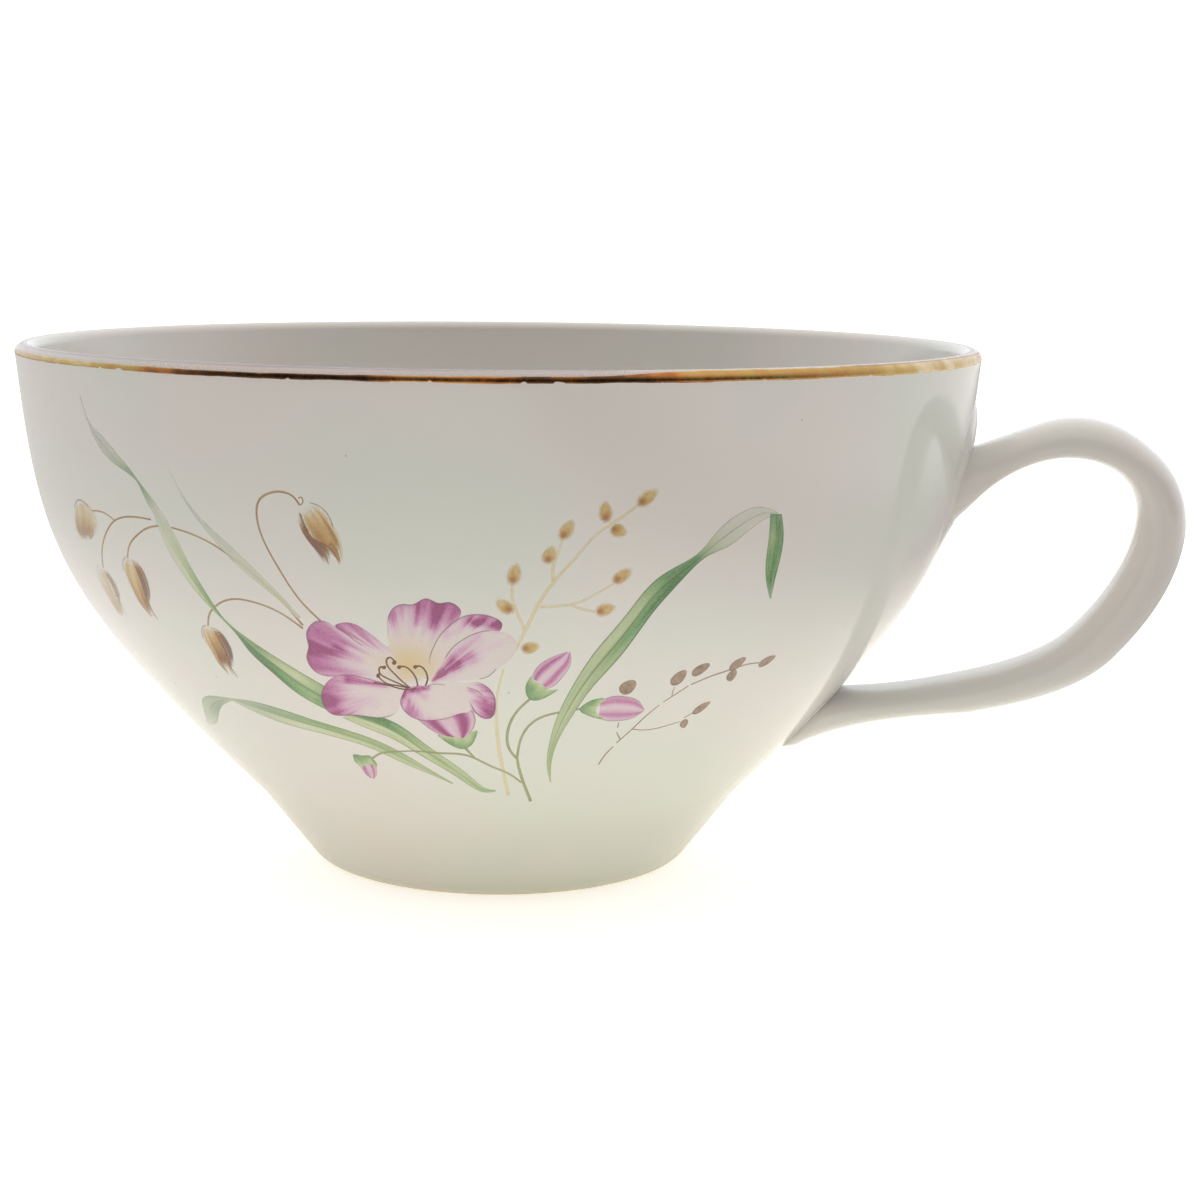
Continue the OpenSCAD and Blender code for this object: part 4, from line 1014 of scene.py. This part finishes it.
def oat_husks():
    """The oats: one open, one spread and three hanging."""
    patches = [
        glume(6, [(-21.3, 42.7), (-21.2, 41.2), (-20.4, 39.8), (-19.4, 38.9), (-18.4, 38.4)],
              [(-20.3, 43.2), (-18.9, 42.7), (-17.8, 41.5), (-17.0, 39.9), (-17.1, 38.0)],
              (0.2, 0.35, 0.55, 0.6, 0.65), 0.0, 51),
        glume(7, [(-21.9, 42.0), (-21.7, 41.0), (-21.0, 39.8), (-19.9, 38.4), (-19.1, 37.2)],
              [(-21.3, 42.5), (-20.9, 41.0), (-20.0, 40.0), (-18.7, 39.4), (-18.5, 38.0)],
              (0.7, 0.95, 0.85, 0.75), 0.75, 52),
        glume(7, [(-19.3, 39.4), (-18.5, 38.9), (-17.6, 37.6)], [(-18.4, 40.0), (-17.6, 39.0), (-17.3, 37.8)],
              (0.8, 0.8, 0.75), 0.2, 53),
        pen(8, [(-20.4, 43.2), (-19.2, 42.9), (-18.2, 42.0), (-17.8, 40.8)], 0.06, 0.7),
        pen(8, [(-21.5, 42.3), (-21.1, 41.2), (-20.6, 40.4)], 0.12, 0.8),
        glume(6, [(-55.6, 41.0), (-57.6, 40.2), (-58.9, 39.0), (-59.3, 38.0), (-58.4, 37.0)],
              [(-54.8, 41.0), (-52.8, 40.6), (-52.1, 39.7), (-52.9, 38.5), (-54.6, 37.4)],
              (0.35, 0.25, 0.4, 0.9, 0.8), 0.2, 54, 0.85),
        pen(8, [(-57.8, 40.0), (-56.6, 40.9), (-55.0, 41.1), (-53.4, 40.5)], 0.08, 0.7),
    ]
    patches += hanging_husk(
        ([(-37.8, 30.6), (-38.9, 30.0), (-39.5, 28.9), (-39.4, 27.7), (-39.3, 26.5), (-38.6, 25.4)],
         [(-36.9, 30.7), (-36.1, 29.9), (-35.6, 28.7), (-35.9, 27.5), (-36.7, 26.4), (-37.2, 25.3)]),
        ([(-37.1, 30.6), (-37.0, 29.5), (-36.8, 28.4), (-36.8, 27.4), (-37.0, 26.4)],
         [(-36.7, 30.6), (-35.4, 29.8), (-35.1, 28.6), (-35.7, 27.3), (-36.5, 26.4)]),
        [(-36.5, 27.3), (-37.1, 26.2), (-36.9, 25.1)], 1.0, 55)
    patches += hanging_husk(
        ([(-48.0, 36.4), (-49.3, 35.6), (-49.8, 34.6), (-49.7, 33.3), (-49.5, 31.9), (-48.6, 30.3)],
         [(-46.9, 36.4), (-46.1, 35.8), (-45.7, 34.7), (-45.9, 33.5), (-46.7, 32.1), (-47.1, 30.5)]),
        ([(-47.3, 36.3), (-47.1, 35.3), (-47.0, 34.0), (-47.2, 32.9), (-47.5, 32.0)],
         [(-46.6, 36.3), (-45.4, 35.4), (-45.2, 34.3), (-45.7, 33.0), (-46.7, 32.0)]),
        [(-46.9, 32.5), (-47.1, 31.2), (-46.8, 30.1)], 1.0, 57)
    patches += hanging_husk(
        ([(-55.9, 34.9), (-57.2, 33.9), (-58.1, 32.5), (-57.9, 31.0), (-57.6, 29.4)],
         [(-54.7, 34.7), (-53.8, 34.0), (-53.4, 32.8), (-53.9, 31.4), (-55.4, 29.7)]),
        ([(-55.2, 34.6), (-54.9, 33.7), (-54.6, 32.7), (-54.9, 31.4)],
         [(-54.6, 34.5), (-53.4, 33.9), (-53.1, 32.6), (-54.1, 31.4)]),
        [(-54.2, 32.2), (-54.7, 30.9), (-54.6, 29.6)], 0.55, 59)
    return enamel_piece("oat_husks", IRON_BROWN, patches)


# ---- panicle and brown sprig ----

def panicle_stems():
    """The pale stem of the panicle and its branches."""
    paths = [
        [(1.2, 13.4, 0.16), (-0.2, 17.9, 0.18), (-0.8, 22.6, 0.16), (-0.7, 25.0, 0.13), (0.1, 28.0, 0.1)],
        [(1.3, 29.7, 0.11), (2.3, 31.5, 0.18), (3.6, 34.0, 0.18), (5.4, 36.5, 0.18), (7.5, 38.6, 0.14),
         (9.7, 40.8, 0.14), (11.9, 42.1, 0.16), (14.0, 43.4, 0.14)],
        [(2.4, 31.9, 0.16), (1.4, 33.8, 0.16), (1.0, 34.8, 0.16), (1.0, 36.4, 0.13)],
        [(1.2, 33.6, 0.14), (0.8, 34.0, 0.14), (0.3, 34.0, 0.12)],
        [(5.3, 36.4, 0.16), (5.2, 37.7, 0.18), (5.7, 39.2, 0.14), (6.1, 40.6, 0.13)],
        [(4.0, 34.1, 0.14), (6.0, 34.2, 0.14), (7.9, 34.4, 0.13), (9.9, 35.2, 0.13), (11.9, 36.2, 0.12)],
        [(7.4, 34.3, 0.12), (8.9, 33.8, 0.12), (10.2, 33.6, 0.12)],
    ]
    return enamel_piece("panicle_stems", OCHRE, [stem(0, path, 0.42, 0.0, 0.0, 0.75) for path in paths])


def panicle_grains():
    """Ochre grains on the panicle, each with an orange-brown foot."""
    ends = [
        ((13.6, 43.2), (16.0, 44.7)), ((10.6, 41.6), (10.3, 43.9)), ((10.9, 41.4), (13.0, 40.7)),
        ((5.8, 40.2), (7.2, 42.2)), ((4.4, 38.0), (5.2, 39.9)), ((0.9, 36.0), (1.4, 38.4)),
        ((1.2, 33.5), (-0.9, 34.9)), ((11.6, 36.2), (13.9, 37.6)), ((10.0, 33.5), (12.6, 34.0)),
        ((1.9, 30.0), (4.4, 30.3)),
    ]
    patches = []
    for number, (foot, tip) in enumerate(ends):
        grids = oval(foot, tip, 0.74, 32, 12)
        a, z, u, v = grids
        dark = wash(a, z, np.array(foot) * 0.88 + np.array(tip) * 0.12,
                    np.array(foot) * 0.7 + np.array(tip) * 0.3, 0.34)
        tone = 0.75 + 0.35 * (noise(a * 3, z * 3, 61 + number) - 0.5)
        patches.append((grids, 6, paint(tone, 0.9 * dark, 0.35 * dark * dark, smooth(1, 0.5, v))))
    return enamel_piece("panicle_grains", OCHRE, patches)


def sprig_stems():
    """The broken, thin stems of the seed sprig."""
    paths = [
        [(15.5, 16.9, 0.07), (15.9, 17.9, 0.08), (16.8, 19.0, 0.07)],
        [(17.1, 19.4, 0.08), (18.7, 20.9, 0.08), (19.9, 22.2, 0.08), (21.4, 23.5, 0.06)],
        [(21.8, 23.8, 0.06), (22.7, 24.3, 0.07), (24.6, 25.4, 0.07)],
        [(24.9, 25.5, 0.07), (27.3, 26.2, 0.09), (29.9, 26.7, 0.1), (32.4, 27.1, 0.08), (34.4, 27.1, 0.06)],
        [(18.8, 20.9, 0.06), (21.5, 20.7, 0.06), (24.1, 21.0, 0.06), (26.0, 21.3, 0.05)],
        [(26.4, 21.7, 0.05), (27.0, 22.0, 0.06), (27.8, 22.4, 0.06)],
        [(17.5, 19.8, 0.06), (16.9, 20.3, 0.06), (16.5, 20.7, 0.05)],
        [(16.4, 21.2, 0.06), (16.3, 21.8, 0.06)],
        [(22.8, 24.3, 0.05), (22.6, 24.8, 0.05), (22.6, 25.4, 0.05)],
    ]
    return enamel_piece("sprig_stems", UMBER, [stem(3, path, 0.8, 0.25, 0.5) for path in paths])


def sprig_seeds():
    """Flat round seeds, brown-grey, darker at one edge."""
    ends = [
        ((15.2, 25.1), (16.8, 26.4), 0.8), ((22.0, 25.6), (23.3, 27.2), 0.7),
        ((24.3, 26.6), (26.5, 27.6), 0.6), ((29.8, 26.7), (31.7, 27.9), 0.6),
        ((30.3, 26.6), (31.2, 25.4), 0.56), ((34.4, 26.8), (36.8, 27.6), 0.52),
        ((27.4, 22.1), (29.5, 23.3), 0.52), ((26.4, 21.5), (27.5, 20.5), 0.42),
    ]
    patches = []
    for number, (foot, tip, half) in enumerate(ends):
        grids = oval(foot, tip, half, 32, 10)
        a, z, u, v = grids
        rim = smooth(0.72, 0.95, v) * smooth(0.15, 0.3, u) * smooth(0.85, 0.6, u)
        tone = 0.7 + 0.5 * (noise(a * 4, z * 4, 71 + number) - 0.5)
        patches.append((grids, 6, paint(tone, 0.0, 0.7 * rim, smooth(1, 0.86, v))))
    return enamel_piece("sprig_seeds", UMBER, patches)


# ---- stage: floor, light and camera ----

CUP_TURN = 13.0  # degrees that the handle is turned towards the camera


def stage():
    """The floor, the surroundings and the camera.

    The camera sees a plain pale floor and white surroundings. Other rays, and so the glaze's reflections
    and the light on the cup, meet a floor that glows more in some places than in others, and surroundings
    that are dark in front, pale behind and bright above. There are no lamps.
    """
    scene = bpy.context.scene
    scene.view_settings.view_transform = "Standard"

    floor_look, tree = new_material("pale_floor")
    seen = add(tree, "ShaderNodeLightPath").outputs["Is Camera Ray"]
    spot = add(tree, "ShaderNodeTexCoord").outputs["Object"]
    away = add(tree, "ShaderNodeVectorMath", {0: spot}, operation="LENGTH")
    reach = add(tree, "ShaderNodeMapRange", {"Value": away.outputs["Value"], "From Max": 300 * MM})
    # Painted light: for rays other than the camera's the floor glows, with painted shade that dims it close
    # to the cup's foot and far out
    painted_glow_and_shade = add(tree, "ShaderNodeValToRGB", {"Fac": reach.outputs["Result"]},
              stops=[(0.06, "#a79f88"), (0.22, "#d9d4ca"), (0.4, "#b8b5ae"), (0.85, "#a2a19e")])
    side = add(tree, "ShaderNodeSeparateXYZ", {"Vector": spot})
    share = add(tree, "ShaderNodeMapRange", {
        "Value": side.outputs["X"], "From Min": -200 * MM, "From Max": 200 * MM})
    # Painted shade: dark to the right, under the handle, both in the floor's glow and in its colour for other
    # rays
    shade = add(tree, "ShaderNodeValToRGB", {"Fac": share.outputs["Result"]},
                stops=[(0.1, "#c2c2c2"), (0.4, "#e4e4e4"), (0.5, "#f2f2f0"), (0.62, "#f2f2f0"),
                       (0.74, "#989898"), (0.84, "#acacac"), (1.0, "#f2f2f2")])
    # Painted shadow: the glow fades far in front of the cup
    front = add(tree, "ShaderNodeMapRange", {
        "Value": side.outputs["Y"], "From Min": -220 * MM, "From Max": -50 * MM,
        "To Min": 0.1, "To Max": 1.0})
    given = add(tree, "ShaderNodeMath", {0: front.outputs["Result"], 1: shade.outputs["Color"]},
                operation="MULTIPLY")
    body = add(tree, "ShaderNodeMix", {
        "Factor": seen, "A": shade.outputs["Color"], "B": linear("#e8e8e4")}, data_type="RGBA")
    plain = add(tree, "ShaderNodeBsdfDiffuse", {"Color": body.outputs["Result"]})
    tint = add(tree, "ShaderNodeMix", {
        "Factor": seen, "A": painted_glow_and_shade.outputs["Color"], "B": linear("#fffbf6")}, data_type="RGBA")
    strength = add(tree, "ShaderNodeMapRange", {
        "Value": seen, "To Min": given.outputs["Value"], "To Max": 0.62})
    glow = add(tree, "ShaderNodeEmission", {
        "Color": tint.outputs["Result"], "Strength": strength.outputs["Result"]})
    both = add(tree, "ShaderNodeAddShader", {0: plain.outputs[0], 1: glow.outputs[0]})
    add(tree, "ShaderNodeOutputMaterial", {"Surface": both.outputs[0]})
    half = 3000.0
    floor = new_piece("floor", [(-half, -half, 0), (half, -half, 0), (half, half, 0), (-half, half, 0)],
                      [(0, 1, 2, 3)], floor_look)

    world = bpy.data.worlds.new("studio")
    scene.world = world
    world.use_nodes = True
    tree = world.node_tree
    tree.nodes.clear()
    ray = add(tree, "ShaderNodeTexCoord").outputs["Generated"]
    turned = add(tree, "ShaderNodeMapping", {
        "Vector": ray, "Rotation": (0, 0, math.radians(-CUP_TURN + 1))})
    parts = add(tree, "ShaderNodeSeparateXYZ", {"Vector": turned.outputs["Vector"]})
    back = add(tree, "ShaderNodeMapRange", {
        "Value": parts.outputs["Y"], "From Min": -1.0, "From Max": 1.0})
    around = add(tree, "ShaderNodeValToRGB", {"Fac": back.outputs["Result"]},
                 stops=[(0.0, "#3c3b3a"), (0.28, "#555452"), (0.5, "#cfd0d3"), (0.75, "#e6e8ec")])
    rise = add(tree, "ShaderNodeMapRange", {
        "Value": parts.outputs["Z"], "From Min": 0.46, "From Max": 0.88})
    depth = add(tree, "ShaderNodeMix", {
        "Factor": rise.outputs["Result"], "A": around.outputs["Color"], "B": linear("#fff8ef")},
        data_type="RGBA")
    seen = add(tree, "ShaderNodeLightPath").outputs["Is Camera Ray"]
    colour = add(tree, "ShaderNodeMix", {
        "Factor": seen, "A": depth.outputs["Result"], "B": (1, 1, 1, 1)}, data_type="RGBA")
    light = add(tree, "ShaderNodeBackground", {"Color": colour.outputs["Result"], "Strength": 1.3})
    add(tree, "ShaderNodeOutputWorld", {"Surface": light.outputs[0]})

    lens = bpy.data.cameras.new("camera")
    lens.sensor_width = 36.0
    lens.lens = 70.68
    camera = bpy.data.objects.new("camera", lens)
    scene.collection.objects.link(camera)
    pitch, yaw, roll = 0.1590, 0.0460, 0.0106  # radians down, towards +X and round the view
    forward = np.array([
        math.sin(yaw) * math.cos(pitch), math.cos(yaw) * math.cos(pitch), -math.sin(pitch)])
    right = np.array([math.cos(yaw), -math.sin(yaw), 0])
    up = np.cross(right, forward)
    right, up = (
        math.cos(roll) * right + math.sin(roll) * up,
        math.cos(roll) * up - math.sin(roll) * right,
    )
    turn = Matrix.Rotation(math.radians(CUP_TURN), 4, "Z")
    aim = np.eye(4)
    aim[:3, :3] = np.stack([right, up, -forward], -1)
    aim[:3, 3] = np.array([-0.9, -250.0, 67.5]) * MM
    camera.matrix_world = turn @ Matrix(aim.tolist())
    lens.clip_start = 0.01
    lens.clip_end = 20.0
    scene.camera = camera


# ---- put together ----

def place(piece, slot, *nodes):
    """The piece rides on the cup and stands for these CAD nodes, which are hidden; slot is not used."""
    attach(piece, "root")
    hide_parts(*nodes)


place(bowl(), "glaze", "bowl", "glaze_outside", "glaze_inside", "glaze_underside")
place(standing_ring(), "bare_porcelain", "foot_ring")
place(handle_loop(), "glaze", "handle", "glaze_handle")
place(slip_pad("handle_upper_pad", *UPPER_PAD), "glaze", "handle_upper_joint")
place(slip_pad("handle_lower_pad", *LOWER_PAD), "glaze", "handle_lower_joint")
place(gold_lip(), "gilding", "rim_gilding")
place(lip_haze(), "gilding", "rim_gilding")
place(flower_petals(), "mauve_enamel", "enamel_flower")
place(flower_pen_lines(), "mauve_enamel", "enamel_flower")
place(flower_stamens(), "brown_enamel", "enamel_flower")
place(bud_petals(), "mauve_enamel", "enamel_buds")
place(bud_calyxes(), "green_enamel", "enamel_buds")
place(grass_leaves(), "green_enamel", "enamel_leaves")
place(flower_stems(), "olive_enamel", "enamel_stems")
place(oat_stems(), "brown_enamel", "enamel_oats")
place(oat_husks(), "brown_enamel", "enamel_oats")
place(panicle_stems(), "ochre_enamel", "enamel_panicle")
place(panicle_grains(), "ochre_enamel", "enamel_panicle")
place(sprig_stems(), "brown_enamel", "enamel_brown_sprig")
place(sprig_seeds(), "brown_enamel", "enamel_brown_sprig")
stage()
